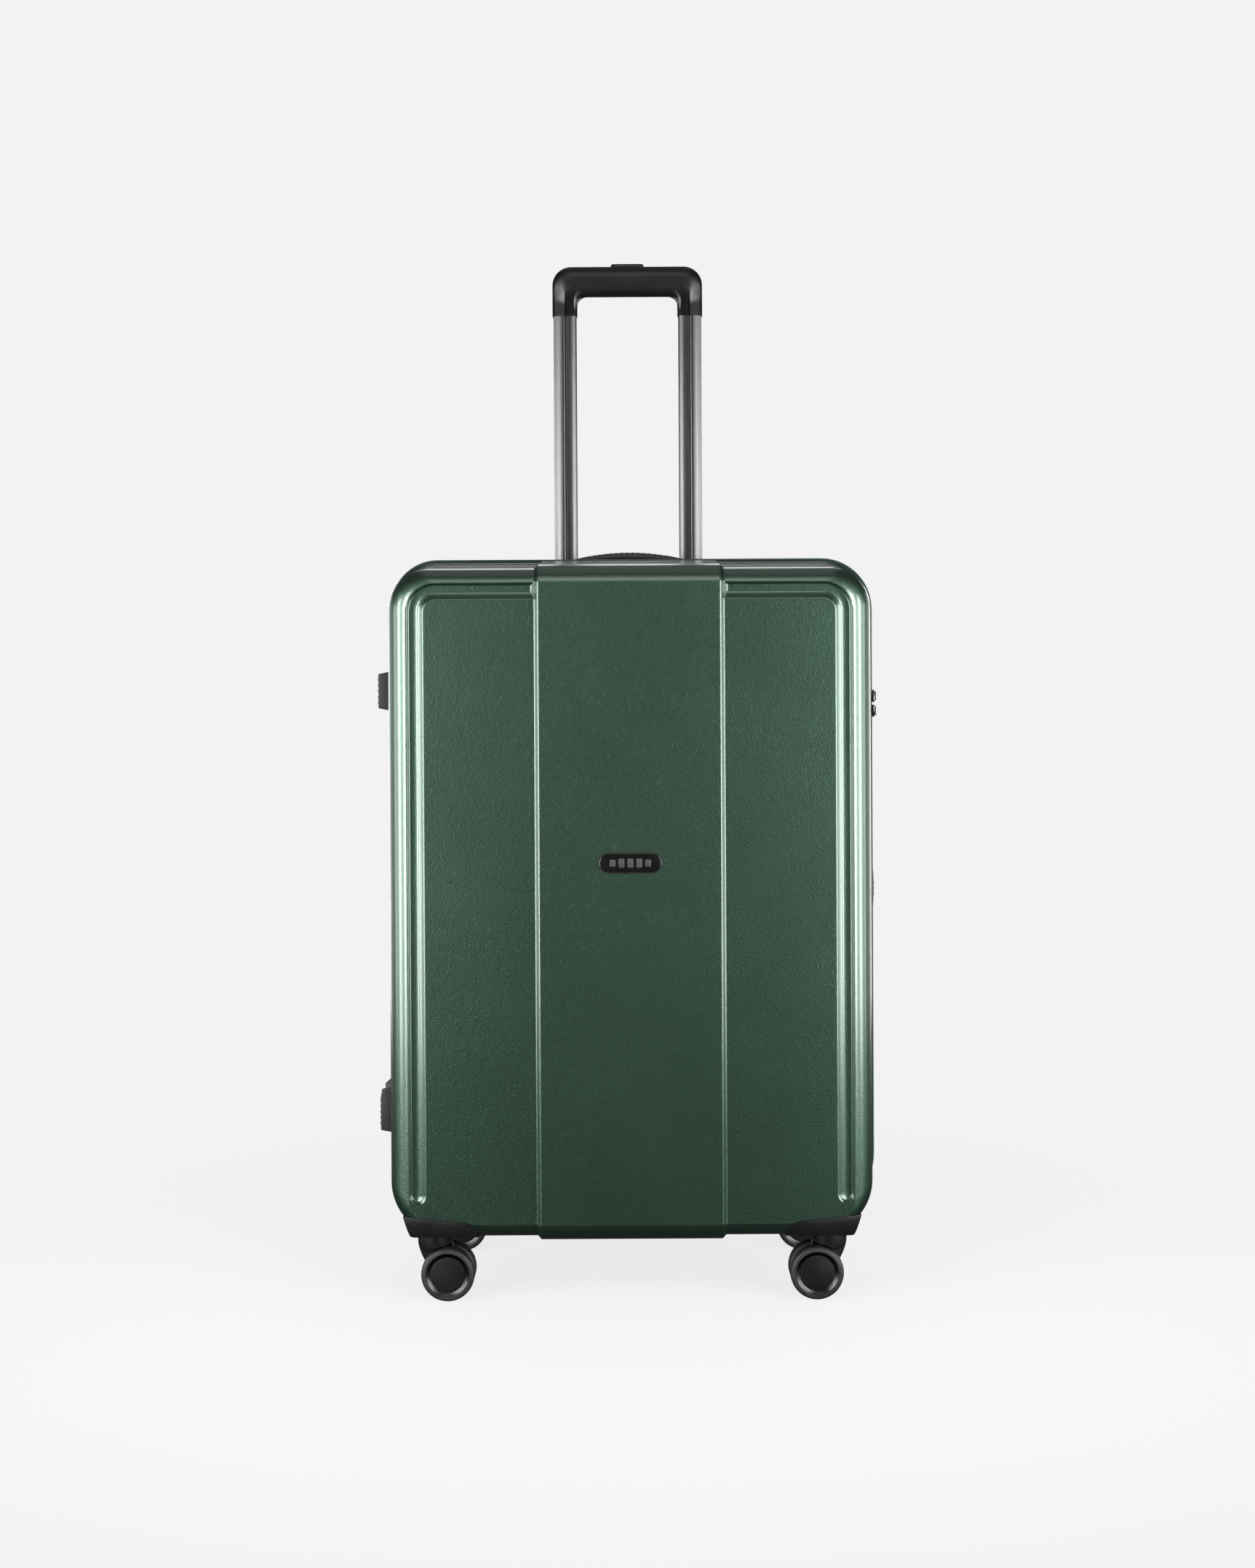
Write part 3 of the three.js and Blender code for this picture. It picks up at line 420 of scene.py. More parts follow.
def arc(cx, cy, radius, start, end, steps):
    angles = np.radians(np.linspace(start, end, steps + 1))
    return [(cx + radius * math.cos(a), cy + radius * math.sin(a)) for a in angles]


def rounded_box(half_w, half_h, radius, steps=6, cx=0.0, cy=0.0):
    w, h = half_w - radius, half_h - radius
    return (
        arc(cx + w, cy - h, radius, -90, 0, steps) + arc(cx + w, cy + h, radius, 0, 90, steps)
        + arc(cx - w, cy + h, radius, 90, 180, steps) + arc(cx - w, cy - h, radius, 180, 270, steps)
    )


def bezier(a, b, c, d, steps):
    t = np.linspace(0, 1, steps + 1)[:, None]
    a, b, c, d = map(np.array, (a, b, c, d))
    return [
        tuple(p)
        for p in (1 - t) ** 3 * a + 3 * (1 - t) ** 2 * t * b + 3 * (1 - t) * t ** 2 * c + t ** 3 * d
    ]


def place(obj, body, slot_name, *nodes):
    """Puts a piece on its body and hides the CAD nodes it stands for; slot_name is not used."""
    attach(obj, body)
    if nodes:
        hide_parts(*nodes)
    return obj


# ---------------------------------------------------------------- shells
ARC_STEPS = 18
SAFE_Z = (150, 660)  # between these heights a station keeps its height on every ring
SAFE_X = 104
TOP_X = sorted({
    *np.linspace(-SAFE_X, SAFE_X, 9).tolist(), *(-198, 198), *(-170, 170), *(-138, 138),
    *[s * x for s in (-1, 1) for x in np.arange(89.5, 100.6, 0.5).tolist()],
})
SIDE_Z = sorted({
    *np.arange(110.5, 119, 0.9).tolist(), 121, 124, 128, 135, 142, *np.linspace(150, 660, 18).tolist(),
    680, 695, 703, 709.5,
})


def between(a, b, t):
    return {k: a[k] + (b[k] - a[k]) * t for k in a}


def stretched(values, safe_low, safe_high, old_low, old_high, low, high):
    """Moves the values outside the safe span so that the end of the old range meets the new one."""
    v = np.array(values, float)
    below = low + (v - old_low) * (safe_low - low) / (safe_low - old_low)
    above = high + (v - old_high) * (safe_high - high) / (safe_high - old_high)
    return np.where(v < safe_low, below, np.where(v > safe_high, above, v))


def outline_points(o):
    """Points and outward normals round an outline, the same count on every ring."""
    half, top, bottom, rt, rb = o["half"], o["top"], o["bottom"], o["r_top"], o["r_bottom"]
    sides = stretched(SIDE_Z, *SAFE_Z, 110, 710, bottom + rb, top - rt)
    tops = stretched(TOP_X, -SAFE_X, SAFE_X, -198, 198, rt - half, half - rt)
    lows = stretched(TOP_X, -SAFE_X, SAFE_X, -198, 198, rb - half, half - rb)
    points, normals = [], []
    corners = [
        (half - rb, bottom + rb, rb, -90), (half - rt, top - rt, rt, 0),
        (rt - half, top - rt, rt, 90), (rb - half, bottom + rb, rb, 180),
    ]
    runs = [
        [(half, z) for z in sides], [(x, top) for x in tops[::-1]],
        [(-half, z) for z in sides[::-1]], [(x, bottom) for x in lows],
    ]
    straight = [(1, 0), (0, 1), (-1, 0), (0, -1)]
    for (cx, cz, r, start), run, normal in zip(corners, runs, straight):
        points += arc(cx, cz, r, start, start + 90, ARC_STEPS)
        normals += arc(0, 0, 1, start, start + 90, ARC_STEPS)
        inner = run[1:-1] if normal[0] == 0 else run
        points += inner
        normals += [normal] * len(inner)
    return np.array(points), np.array(normals)


def channel_depth(x, z):
    """Depth of the groove below the face at each point."""
    x = np.abs(x)
    cx, cz = CHANNEL_X - CHANNEL_R, CHANNEL_Z - CHANNEL_R
    corner = np.hypot(x - cx, z - cz) - CHANNEL_R
    across = np.where(z < cz, x - CHANNEL_X, np.where(x > cx, corner, z - CHANNEL_Z))
    near_end = np.clip((CHANNEL_END + CHANNEL_HALF - z) / CHANNEL_HALF, 0, 1)
    narrow = np.sqrt(np.clip(1 - near_end ** 2, 1e-6, 1))
    narrow = np.where(x > cx, narrow, 1)
    across = across / narrow
    stops = [-9, -8.25, -7.8, -5.5, -2.2, 0.6, 3.4, 5.6, 6.6, 7.0, 7.7, 7.95, 8.25]
    depths = [0, 0.05, 0.28, 1.75, 3.55, 4.0, 3.95, 3.75, 3.4, 2.9, 0.45, 0.1, 0]
    return np.interp(across, stops, depths) * narrow ** 0.5


def band_height(x):
    """Height of the raised strip; outside it the flank runs on below the face, to meet the channel."""
    stops = [91.4, 92.2, 92.9, 93.4, 95.5, 96, 99.5, 101]
    heights = [4, 3.93, 3.6, 3.1, 0.55, 0.0, -4, -9]
    return np.interp(np.abs(x), stops, heights)


def raised(x, groove):
    """Band and channel together, with a small fillet where they meet."""
    band = band_height(x)
    ground = -groove
    gap = np.clip(1 - np.abs(band - ground) / 0.9, 0, 1)
    return np.maximum(band, ground) + 0.9 * gap ** 2 / 4


def shell_surface(side):
    """Rings of points from the shell's edge over wall, shoulder and face to the core rectangle."""
    slope = (math.cos(DRAFT), math.sin(DRAFT))
    rings = []
    lip = [
        (7, 0.2), (7.15, 0.75), (7.6, 1.2), (8.4, 1.5), (9.4, 1.6), (10.4, 1.5), (11.2, 1.2), (11.8, 0.7),
        (12.3, 0.25), (12.9, 0.0), (13.6, 0), (14.4, 0), (15.4, 0), (16.4, 0), (17.4, 0), (18.6, 0),
    ]
    for y, grow in lip + [(y, 0) for y in (22, 40, 60, 80, 100, 118, 126)]:
        outline = between(RIM, SHOULDER, y / SHOULDER["y"])
        outline["y"] = y
        rings.append((outline, grow, slope))
    reach, rise = 1 - math.cos(SHOULDER_ARC), math.sin(SHOULDER_ARC)
    for angle in np.linspace(0, SHOULDER_ARC, 19):
        outline = between(SHOULDER, FACE, (1 - math.cos(angle)) / reach)
        outline["y"] = SHOULDER["y"] + (FACE["y"] - SHOULDER["y"]) * math.sin(angle) / rise
        turn = angle / SHOULDER_ARC * math.pi / 2
        steep = math.atan2(17 * math.sin(turn), 21 * math.cos(turn))
        rings.append((outline, 0, (math.cos(steep), math.sin(steep))))
    insets = (0.7, 1.05, 1.35, 1.8, 2.2, 2.6, 3, 3.5, 4.4, 5.6, 7, 8.4, 9.8, 11, 12.4, 13.6, 14.8,
              15.8, 16.4, 16.8, 17.2, 17.8, 18.6, 19.5)
    for inset in insets:
        rings.append((between(FACE, INNER, inset / 19.5), 0, (0, 1)))
    points = []
    for outline, grow, (out, forward) in rings:
        flat, normal = outline_points(outline)
        fade = np.clip((outline["y"] - 13.2) / 4.6, 0, 1)
        fade = fade * fade * (3 - 2 * fade)
        on_face = outline["y"] > FACE["y"] - 0.01
        groove = channel_depth(flat[:, 0], flat[:, 1]) if on_face else np.zeros(len(flat))
        bump = raised(flat[:, 0], groove) * fade + grow
        x = flat[:, 0] + normal[:, 0] * bump * out
        z = flat[:, 1] + normal[:, 1] * bump * out
        y = side * (outline["y"] + bump * forward)
        points.append(np.stack([x, y, z], 1))
    return points


def shell_mesh(name, side):
    """The shell as rings closed by a grid over the face, then given its wall thickness."""
    rings = shell_surface(side)
    columns = len(rings[0])
    faces = strip_faces(len(rings), columns)
    points = [tuple(p) for ring in rings for p in ring]
    # the core: a grid between the last ring's sides, whose corner arcs shrink to almost nothing
    arc_count, side_count, top_count = ARC_STEPS + 1, len(SIDE_Z), len(TOP_X) - 2
    base = (len(rings) - 1) * columns
    start = base + arc_count
    right = [start + i for i in range(side_count)]
    start = right[-1] + 1 + arc_count
    top = [start + i for i in range(top_count)][::-1]
    start = max(top) + 1 + arc_count
    left = [start + i for i in range(side_count)][::-1]
    start = max(left) + 1 + arc_count
    low = [start + i for i in range(top_count)]
    grid = {}
    for i in range(side_count):
        z0, z1 = points[right[i]][2], points[left[i]][2]
        for k in range(top_count):
            xl, xt = points[low[k]][0], points[top[k]][0]
            t = (i + 1) / (side_count + 1)
            x, z = xl + (xt - xl) * t, (z0 + z1) / 2
            height = float(raised(np.array([x]), channel_depth(np.array([x]), np.array([z])))[0])
            grid[i, k] = len(points)
            points.append((x, side * (FACE["y"] + height), z))
    rows = [left] + [[grid[i, k] for i in range(side_count)] for k in range(top_count)] + [right]
    for a, b in zip(rows, rows[1:]):
        faces += [(a[i], a[i + 1], b[i + 1], b[i]) for i in range(side_count - 1)]
    for row, edge in ((0, low), (side_count - 1, top)):
        line = [grid[row, k] for k in range(top_count)]
        faces += [(edge[k], edge[k + 1], line[k + 1], line[k]) for k in range(top_count - 1)]
    # the four corner arcs close as fans against the grid's corners
    corner_arcs = [
        (base, right[0], grid[0, top_count - 1], low[-1]),
        (right[-1] + 1, top[-1], grid[side_count - 1, top_count - 1], right[-1]),
        (top[0] + 1, left[-1], grid[side_count - 1, 0], top[0]),
        (left[0] + 1, low[0], grid[0, 0], left[0]),
    ]
    for first, after, hub, before in corner_arcs:
        loop = [before] + [first + i for i in range(arc_count)] + [after]
        faces += [(a, b, hub) for a, b in zip(loop, loop[1:])]
    obj = mesh_object(name, points, faces, GREEN, 50)
    solid = obj.modifiers.new("wall", "SOLIDIFY")
    solid.thickness = WALL * MM
    solid.offset = -1
    return baked(obj, 50)


def housing_outline(grow=0.0, skirt=0.0):
    """Front view of a caster housing at the right corner."""
    inner, low = 156 - grow, 69 - skirt
    top = [(inner, 72)] + bezier(
        (inner, 72), (inner + 1, 80 + grow), (inner + 7, 88.5 + grow), (inner + 17, 88.8 + grow), 8)[1:]
    outer = [(233 + grow, 94.5 + grow)]
    if skirt:
        return [(inner, low)] + top + outer + [(233 + grow, low)]
    return [(inner, low)] + top + outer + [(226, 72), (222, low)]


def mirrored_outline(outline, sx):
    return [(sx * x, z) for x, z in outline]


def wall_frame(along, outward, origin):
    """Matrix of a frame on a drafted wall: x along the piece, y out of the wall."""
    x, y = Vector(along), Vector(outward).normalized()
    z = x.cross(y)
    return Matrix.Translation(Vector(origin) * MM) @ Matrix((x, y, z)).transposed().to_4x4()


def wall_half(y):
    return RIM["half"] + (SHOULDER["half"] - RIM["half"]) * y / SHOULDER["y"]


def side_frame(sx, side, y, z):
    outward = (sx * math.cos(DRAFT), side * math.sin(DRAFT), 0)
    return wall_frame((0, 0, 1), outward, (sx * wall_half(y), side * y, z))


def wall_top(y):
    return RIM["top"] + (SHOULDER["top"] - RIM["top"]) * y / SHOULDER["y"]


TOP_FRAME = wall_frame((1, 0, 0), (0, math.sin(DRAFT), math.cos(DRAFT)), (0, 42, wall_top(42) + BAND_RAISE))
SIDE_FRAME = side_frame(1, 1, 45, 410)
LOCK_FRAME = side_frame(1, 1, 30, 604)


def build_shells():
    for name, side in SIDES:
        shell = shell_mesh(f"{name}_case_shell", side)
        cutters = []
        for _, sx in HANDS:
            span = sorted((side * 61.6, side * 165))
            outline = mirrored_outline(housing_outline(0.4, 20), sx)
            cutters.append(prism("cutter", outline, *span, "xz", GREEN))
        if side > 0:
            dish = rounded_box(78.4, 25.9, 6)
            turned = Matrix.Rotation(math.radians(90), 4, "X")
            for base in (TOP_FRAME, SIDE_FRAME):
                cutters.append(prism("cutter", dish, -12, 25, "xy", GREEN, matrix=base @ turned))
            lock = rounded_box(40.4, 13.4, 3)
            cutters.append(prism("cutter", lock, -12, 25, "xy", GREEN, matrix=LOCK_FRAME @ turned))
            cup = rounded_box(90.4, 15.9, 9, cy=TROLLEY_Y)
            cutters.append(prism("cutter", cup, 700, 790, "xy", GREEN))
        else:
            face = -(FACE["y"] + BAND_RAISE)
            stadium = rounded_box(32.5, 10.8, 10.79, 12, cy=BADGE_Z)
            recess = prism("cutter", stadium, face - 3, face + 1.9, "xz", GREEN)
            cutters.append(recess)
        cut_by(shell, *cutters)
        bevelled(shell, 0.35, angle=60, smooth=50)
        for face in shell.data.polygons:
            face.use_smooth = abs(face.normal.y) < FLAT_COSINE
        place(shell, f"{name}_case", "shell_plastic", f"{name}_shell")


# ---------------------------------------------------------------- badge
def build_badge():
    face, z = -(FACE["y"] + BAND_RAISE), BADGE_Z
    plate = prism("plate", rounded_box(31.3, 9.6, 9.59, 14, cy=z), face + 0.35, face + 1.7, "xz", GLOSS, 0.3)
    outer, inner = rounded_box(32.3, 10.6, 10.59, 14, cy=z), rounded_box(31.45, 9.75, 9.74, 14, cy=z)
    rings = [[(x, y, zz) for x, zz in loop] for loop, y in
             ((outer, face + 1.7), (outer, face + 0.15), (inner, face + 0.15), (inner, face + 1.7))]
    rim = skin("rim", rings, BRIGHT, closed=True)
    bars = []
    for i, height in enumerate((3.6, 4.6, 4.6, 4.6, 3.6)):
        x = (i - 2) * 9.0
        shape = rounded_box(2.9, height, 1.1, 5, cx=x, cy=z)
        bars.append(prism("bar", shape, face + 0.05, face + 0.6, "xz", INK, 0.15))
    place(joined("badge_plate", plate, rim, *bars), "front_case", "gloss_black", "badge")


# ---------------------------------------------------------------- zip
def zip_path(count):
    """Stations round the rim from one hinge-side corner to the other: x, z, normal and how far the
    tape tucks in towards the hinge."""
    rt, rb, half = RIM["r_top"], RIM["r_bottom"], RIM["half"]
    corners = [(rt - half, RIM["top"] - rt, rt, 180), (half - rt, RIM["top"] - rt, rt, 90),
               (half - rb, RIM["bottom"] + rb, rb, 0), (rb - half, RIM["bottom"] + rb, rb, -90)]
    line = []
    for cx, cz, r, start in corners:
        for p, n in zip(arc(cx, cz, r, start, start - 90, 24), arc(0, 0, 1, start, start - 90, 24)):
            line.append((*p, *n))
    line = np.array(line)
    length = np.concatenate([[0], np.cumsum(np.hypot(*np.diff(line[:, :2], axis=0).T))])
    total = length[-1]
    at = np.linspace(0, total, count)
    out = np.stack([np.interp(at, length, line[:, i]) for i in range(4)], 1)
    out[:, 2:] /= np.linalg.norm(out[:, 2:], axis=1)[:, None]
    first = length[24]
    tuck = np.maximum(np.clip(1 - at / first, 0, 1), np.clip(1 - (total - at) / (math.pi / 2 * rb), 0, 1))
    return out, tuck ** 1.5


def zip_strip(name, side, section, material):
    path, tuck = zip_path(ZIP_STATIONS)
    rings = []
    for (x, z, nx, nz), t in zip(path, tuck):
        rings.append([(x + nx * (r - 6 * t), side * y, z + nz * (r - 6 * t)) for y, r in section])
    return skin(name, rings, material)


def build_zips():
    tape = [
        (15, -5.3), (15, -4.3), (6.3, -3.7), (5.2, -2.2), (4.2, -0.4), (3.7, 1.2), (3.4, 2.6), (2.6, 3.5),
        (0.5, 3.7), (0.5, 2.9), (2.0, 2.7), (2.7, 1.0), (4.1, -2.6), (5.4, -4.9),
    ]
    cord = [(2.2 + 0.75 * math.cos(a), 3.95 + 0.75 * math.sin(a)) for a in np.radians(np.arange(0, 360, 45))]
    for name, side in SIDES:
        parts = [zip_strip("tape", side, tape, TAPE), zip_strip("welt", side, cord, COIL)]
        path, tuck = zip_path(ZIP_TEETH)
        points, faces = [], []
        for (x, z, nx, nz), t in zip(path, tuck):
            tx, tz = nz, -nx
            start = len(points)
            for along in (-0.5, 0.5):
                for y, r in ((0.35, 3.6), (1.5, 3.6), (1.5, 4.5), (1.05, 5.1), (0.35, 5.1)):
                    out = r - 6 * t
                    points.append((x + nx * out + tx * along, side * y, z + nz * out + tz * along))
            faces += [tuple(start + i for i in range(5)), tuple(start + 5 + i for i in range(5))]
            faces += [
                (start + i, start + (i + 1) % 5, start + 5 + (i + 1) % 5, start + 5 + i)
                for i in range(5)
            ]
        parts.append(mesh_object("teeth", points, faces, COIL, 30))
        place(joined(f"{name}_zip_tape", *parts), f"{name}_case", "zip_tape", f"{name}_zip")


def build_sliders():
    for name, end in (("upper", 1), ("lower", -1)):
        low, high = node_box(f"{name}_zip_slider")
        z = (low.z + high.z) / 2
        x0 = 262.6
        top = [
            (-4.9, -4.6), (-3.6, -6.6), (3.6, -6.6), (4.9, -4.6), (4.0, 4.4), (2.2, 6.7), (-2.2, 6.7),
            (-4.0, 4.4),
        ]
        outline = [(y, z + end * s) for y, s in top]
        plate = prism("plate", outline, x0, x0 + 1.5, "yz", STEEL, 0.35)
        flange = prism("flange", rounded_box(0.55, 6.2, 0.5, 3, cx=4.4, cy=z), 259.1, x0 + 0.6, "yz", STEEL)
        ears = [
            prism("ear", rounded_box(1.5, 0.55, 0.3, 3, cy=z + s * 4.4), x0 + 1.2, 267.3, "yz", STEEL, 0.2)
            for s in (-1, 1)
        ]
        bar = lathe("bar", [(0, -4.6), (0.7, -4.6), (0.7, 4.6), (0, 4.6)], (266.2, 0, z), "z", STEEL, 20)
        place(joined(f"{name}_slider_body", plate, flange, *ears, bar), f"{name}_slider", "dark_steel",
              f"{name}_zip_slider")
        # the pull: an oval wire loop on an eye, lying over the lock
        path = [(13.2 + 8.2 * math.cos(a), z + 3.3 * math.sin(a)) for a in np.radians(np.arange(0, 360, 10))]
        rings = []
        for i, (y, zz) in enumerate(path):
            y2, z2 = path[(i + 1) % len(path)]
            y1, z1 = path[i - 1]
            n = np.array([z2 - z1, -(y2 - y1)])
            n /= np.linalg.norm(n)
            ring = arc(0, 0, 1, 0, 330, 11)
            rings.append([(266.2 + 0.75 * b, y + n[0] * a, zz + n[1] * a) for a, b in ring])
        loop = skin("loop", rings, STEEL, closed=True)
        eye = lathe("eye", [(1.0, -3.1), (1.55, -3.1), (1.6, -2.8), (1.6, 2.8), (1.55, 3.1), (1.0, 3.1)],
                    (266.2, 0, z), "z", STEEL, 24)
        neck = prism("neck", rounded_box(2.2, 2.4, 0.8, 3, cx=3.6, cy=z), 265.5, 266.9, "yz", STEEL, 0.3)
        place(joined(f"{name}_pull_loop", loop, eye, neck), f"{name}_pull", "dark_steel", f"{name}_zip_pull")


# ---------------------------------------------------------------- side feet
def build_feet():
    for name, side in SIDES:
        for level, z in FOOT_HEIGHTS:
            base = side_frame(-1, side, FOOT_Y, z)
            reach = (SIDE_REACH - wall_half(FOOT_Y) - 22 * math.sin(DRAFT)) / math.cos(DRAFT)
            outline = [(-20.5, 0.3), (20.5, 0.3), (18, reach), (-18, reach)]
            block = prism("block", outline, -22, 22, "xy", DARK_GREY, 1.0, 3, matrix=base)
            ribs = [
                prism(
                    "rib", rounded_box(0.9, 0.7, 0.5, 3, cx=u, cy=reach), -17, 17, "xy", DARK_GREY,
                    matrix=base,
                )
                for u in (-12, -6, 0, 6, 12)
            ]
            place(joined(f"{name}_{level}_side_foot", block, *ribs), f"{name}_case", "black_plastic",
                  f"{name}_{level}_foot")


# ---------------------------------------------------------------- carry handles
def screw(matrix, u, w, v, radius=2.6):
    """A countersunk cross-head screw in a wall frame."""
    turned = matrix @ Matrix.Translation(Vector((u, v, w)) * MM)
    head = lathe("head", [(0, -1.2), (radius, -1.2), (radius, -0.1), (radius * 0.85, 0.25), (0, 0.3)],
                 (0, 0, 0), "y", STEEL, 24, matrix=turned)
    slots = [
        prism("slot", rounded_box(a, b, 0.2, 2), -0.5, 0.6, "xz", STEEL, matrix=turned @ Matrix.Scale(1, 4))
        for a, b in ((radius * 0.62, 0.38), (0.38, radius * 0.62))
    ]
    return cut_by(head, *slots)


def carry_handle(name, matrix, body, rise):
    """The strap: a crowned bar with moulded grooves, thinning to the posts at both ends."""
    radius, post, thickness = 240, 66, 8
    centre = rise - radius
    low = centre + math.sqrt(radius ** 2 - post ** 2) - 2.2
    sag = rise - thickness - low
    under = (61 ** 2 + sag ** 2) / (2 * sag)
    rings = []
    for u in np.linspace(-post, post, 89):
        top = centre + math.sqrt(radius ** 2 - u * u)
        bottom = rise - thickness - under + math.sqrt(max(under ** 2 - u * u, 0))
        bottom = min(bottom, top - 2.0)
        groove = 0.55 if abs(u) < 42 and int((u + 66) / 1.5) % 4 == 1 else 0.0
        half = 10 - 0.9 * (abs(u) > 60)
        mid, h = (top + bottom) / 2, (top - bottom) / 2
        ring = []
        for a in np.radians(np.arange(0, 360, 15)):
            c, s = math.cos(a), math.sin(a)
            w = half * abs(c) ** 0.45 * math.copysign(1, c)
            v = (h - groove * (s > 0)) * abs(s) ** 0.55 * math.copysign(1, s)
            ring.append((u, mid + v, w))
        rings.append(ring)
    strap = skin("strap", rings, SOFT, smooth=40, matrix=matrix)
    posts = []
    for end in (-1, 1):
        outline = [(61, -11), (69, -11), (69, -9), (66, -9), (66, 4.4), (61, 3.6)]
        points = [(end * u, v) for u, v in outline]
        posts.append(prism("post", points, -9.6, 9.6, "xy", BLACK, 0.4, matrix=matrix))
    place(joined(f"{name}_strap", strap, *posts), body, "soft_black", name)


def carry_base(name, matrix):
    """The dished base: flange on the wall, dish under the strap and a slot for each post."""
    turned = matrix @ Matrix.Rotation(math.radians(90), 4, "X")
    up = turned @ Matrix.Scale(-1, 4, (0, 0, 1)) @ Matrix.Scale(-1, 4, (0, 1, 0))
    loops = [
        (rounded_box(80.5, 28, 8), 0.3), (rounded_box(80.5, 28, 8), 1.2), (rounded_box(79.8, 27.3, 7.6), 1.8),
        (rounded_box(56, 24.2, 7), 1.8), (
            rounded_box(55.2, 23.4, 6.6), 1.3,
        ), (rounded_box(54.4, 22.6, 6.2), -0.4),
        (rounded_box(53.2, 21.4, 6), -7.2), (rounded_box(50.5, 18.7, 5), -9.4), (rounded_box(46, 14, 4), -10),
    ]
    under = [
        (rounded_box(46, 14, 4), -13.6), (rounded_box(76, 23.5, 5), -13.6), (rounded_box(78, 25.5, 6), -12),
        (rounded_box(78, 25.5, 6), 0.3),
    ]
    rings = [[(u, v, w) for u, w in loop] for loop, v in loops + under]
    base = skin("base", rings, BLACK, closed=True, matrix=matrix)
    floor = prism("floor", rounded_box(46.2, 14.2, 4), -13.6, -10.02, "xy", BLACK, matrix=up)
    slots = []
    for end in (-1, 1):
        room = rounded_box(3.1, 10.6, 1.2, 4, cx=end * 63.4)
        points = [[(u, v, w) for u, w in room] for v in (-9, 5)]
        slots.append(skin("slot", points, BLACK, matrix=matrix))
    cut_by(base, *slots)
    screws = [screw(matrix, u, w, 1.75) for u in (-74, 74) for w in (-18, 18)]
    place(joined(f"{name}_tray", base, floor, *screws), "rear_case", "black_plastic", f"{name}_base")


def build_carry_handles():
    side_rise = (SIDE_REACH - wall_half(45) - 10 * math.sin(DRAFT)) / math.cos(DRAFT)
    for name, matrix, rise in (("top_handle", TOP_FRAME, 13.6), ("side_handle", SIDE_FRAME, side_rise)):
        body = name.replace("_handle", "_carry_handle")
        carry_handle(name, matrix, body, rise)
        carry_base(name, matrix)


# ---------------------------------------------------------------- lock
def build_lock():
    m = LOCK_FRAME
    up = m @ Matrix.Rotation(math.radians(-90), 4, "X")  # outlines in (along, across), extruded outwards
    body = prism("body", rounded_box(41.5, 13.8, 4), 0.3, 5.5, "xy", BLACK, 0.6, 3, matrix=up)
    deep = prism("deep", rounded_box(40, 13, 3), -10, 0.6, "xy", BLACK, matrix=up)
    cutters = []
    for i in range(3):
        u = -26 + 8 * i
        cutters.append(prism(
            "slot", rounded_box(2.95, 6.4, 0.8, 4, cx=u, cy=-3), -6.2, 8, "xy", BLACK, matrix=up,
        ))
    cutters.append(prism("slot", rounded_box(4.9, 5.4, 1, 4, cx=30.5), -3, 8, "xy", BLACK, matrix=up))
    cutters.append(prism("slot", rounded_box(12, 7.5, 2, 4, cx=8, cy=8), 4.3, 8, "xy", BLACK, matrix=up))
    cut_by(body, *cutters)
    screws = [screw(m, u, 9.6, 5.3, 1.8) for u in (-38, 38)]
    place(joined("lock_case", body, deep, *screws), "rear_case", "black_plastic", "lock_body")
    for i in range(3):
        name = f"lock_dial_{i + 1}"
        pos = Vector(joint(f"{name}_turn")["pos_m"]) / MM
        profile = [(0, -2.5), (5.2, -2.5), (5.6, -2.1), (5.6, 2.1), (5.2, 2.5), (0, 2.5)]
        dial = lathe("dial", profile, tuple(pos), "z", BLACK, 40)
        teeth = []
        for k in range(20):
            a = 2 * math.pi * k / 20
            centre = pos + Vector((5.55 * math.cos(a), 5.55 * math.sin(a), 0))
            small = rounded_box(0.42, 0.42, 0.2, 2, cx=centre.x, cy=centre.y)
            teeth.append(prism("tooth", small, pos.z - 2.1, pos.z + 2.1, "xy", BLACK if k % 2 else BRIGHT))
        place(joined(f"{name}_wheel", dial, *teeth), f"dial_{i + 1}", "black_plastic", name)
    cap = prism("cap", rounded_box(4.5, 5, 1.2, 4, cx=30.5), 0.2, 6.7, "xy", STEEL, 0.5, 3, matrix=up)
    ribs = [
        prism("rib", rounded_box(0.3, 3.4, 0.25, 2, cx=30.5 + s), 6.5, 6.95, "xy", STEEL, matrix=up)
        for s in (-2, 0, 2)
    ]
    place(joined("lock_button_cap", cap, *ribs), "lock_release", "dark_steel", "lock_button")


# ---------------------------------------------------------------- pull handle
def tube_section(sx):
    """Aerofoil-like tube section: an outer and an inner facet with two grooves and a rib between."""
    front = [
        (12.95, 2.0), (12.85, 3.4), (12.4, 4.3), (
            11.6, 4.75,
        ), (3.3, 7.5), (2.8, 7.45), (2.6, 6.5), (1.8, 6.5),
        (1.6, 7.3), (1.4, 7.7), (0.7, 7.85), (0.45, 7.5), (0.35, 6.0), (-0.9, 6.0), (-1.0, 7.5), (-1.3, 7.75),
        (-2.2, 7.8), (-6.5, 7.5), (-10.0, 6.8), (-11.7, 5.9), (-12.7, 4.3), (-12.95, 2.0),
    ]
    loop = [(x, -y) for x, y in front] + [(x, y) for x, y in reversed(front)]
    return [(sx * (TUBE_X + x), TROLLEY_Y + y) for x, y in loop]


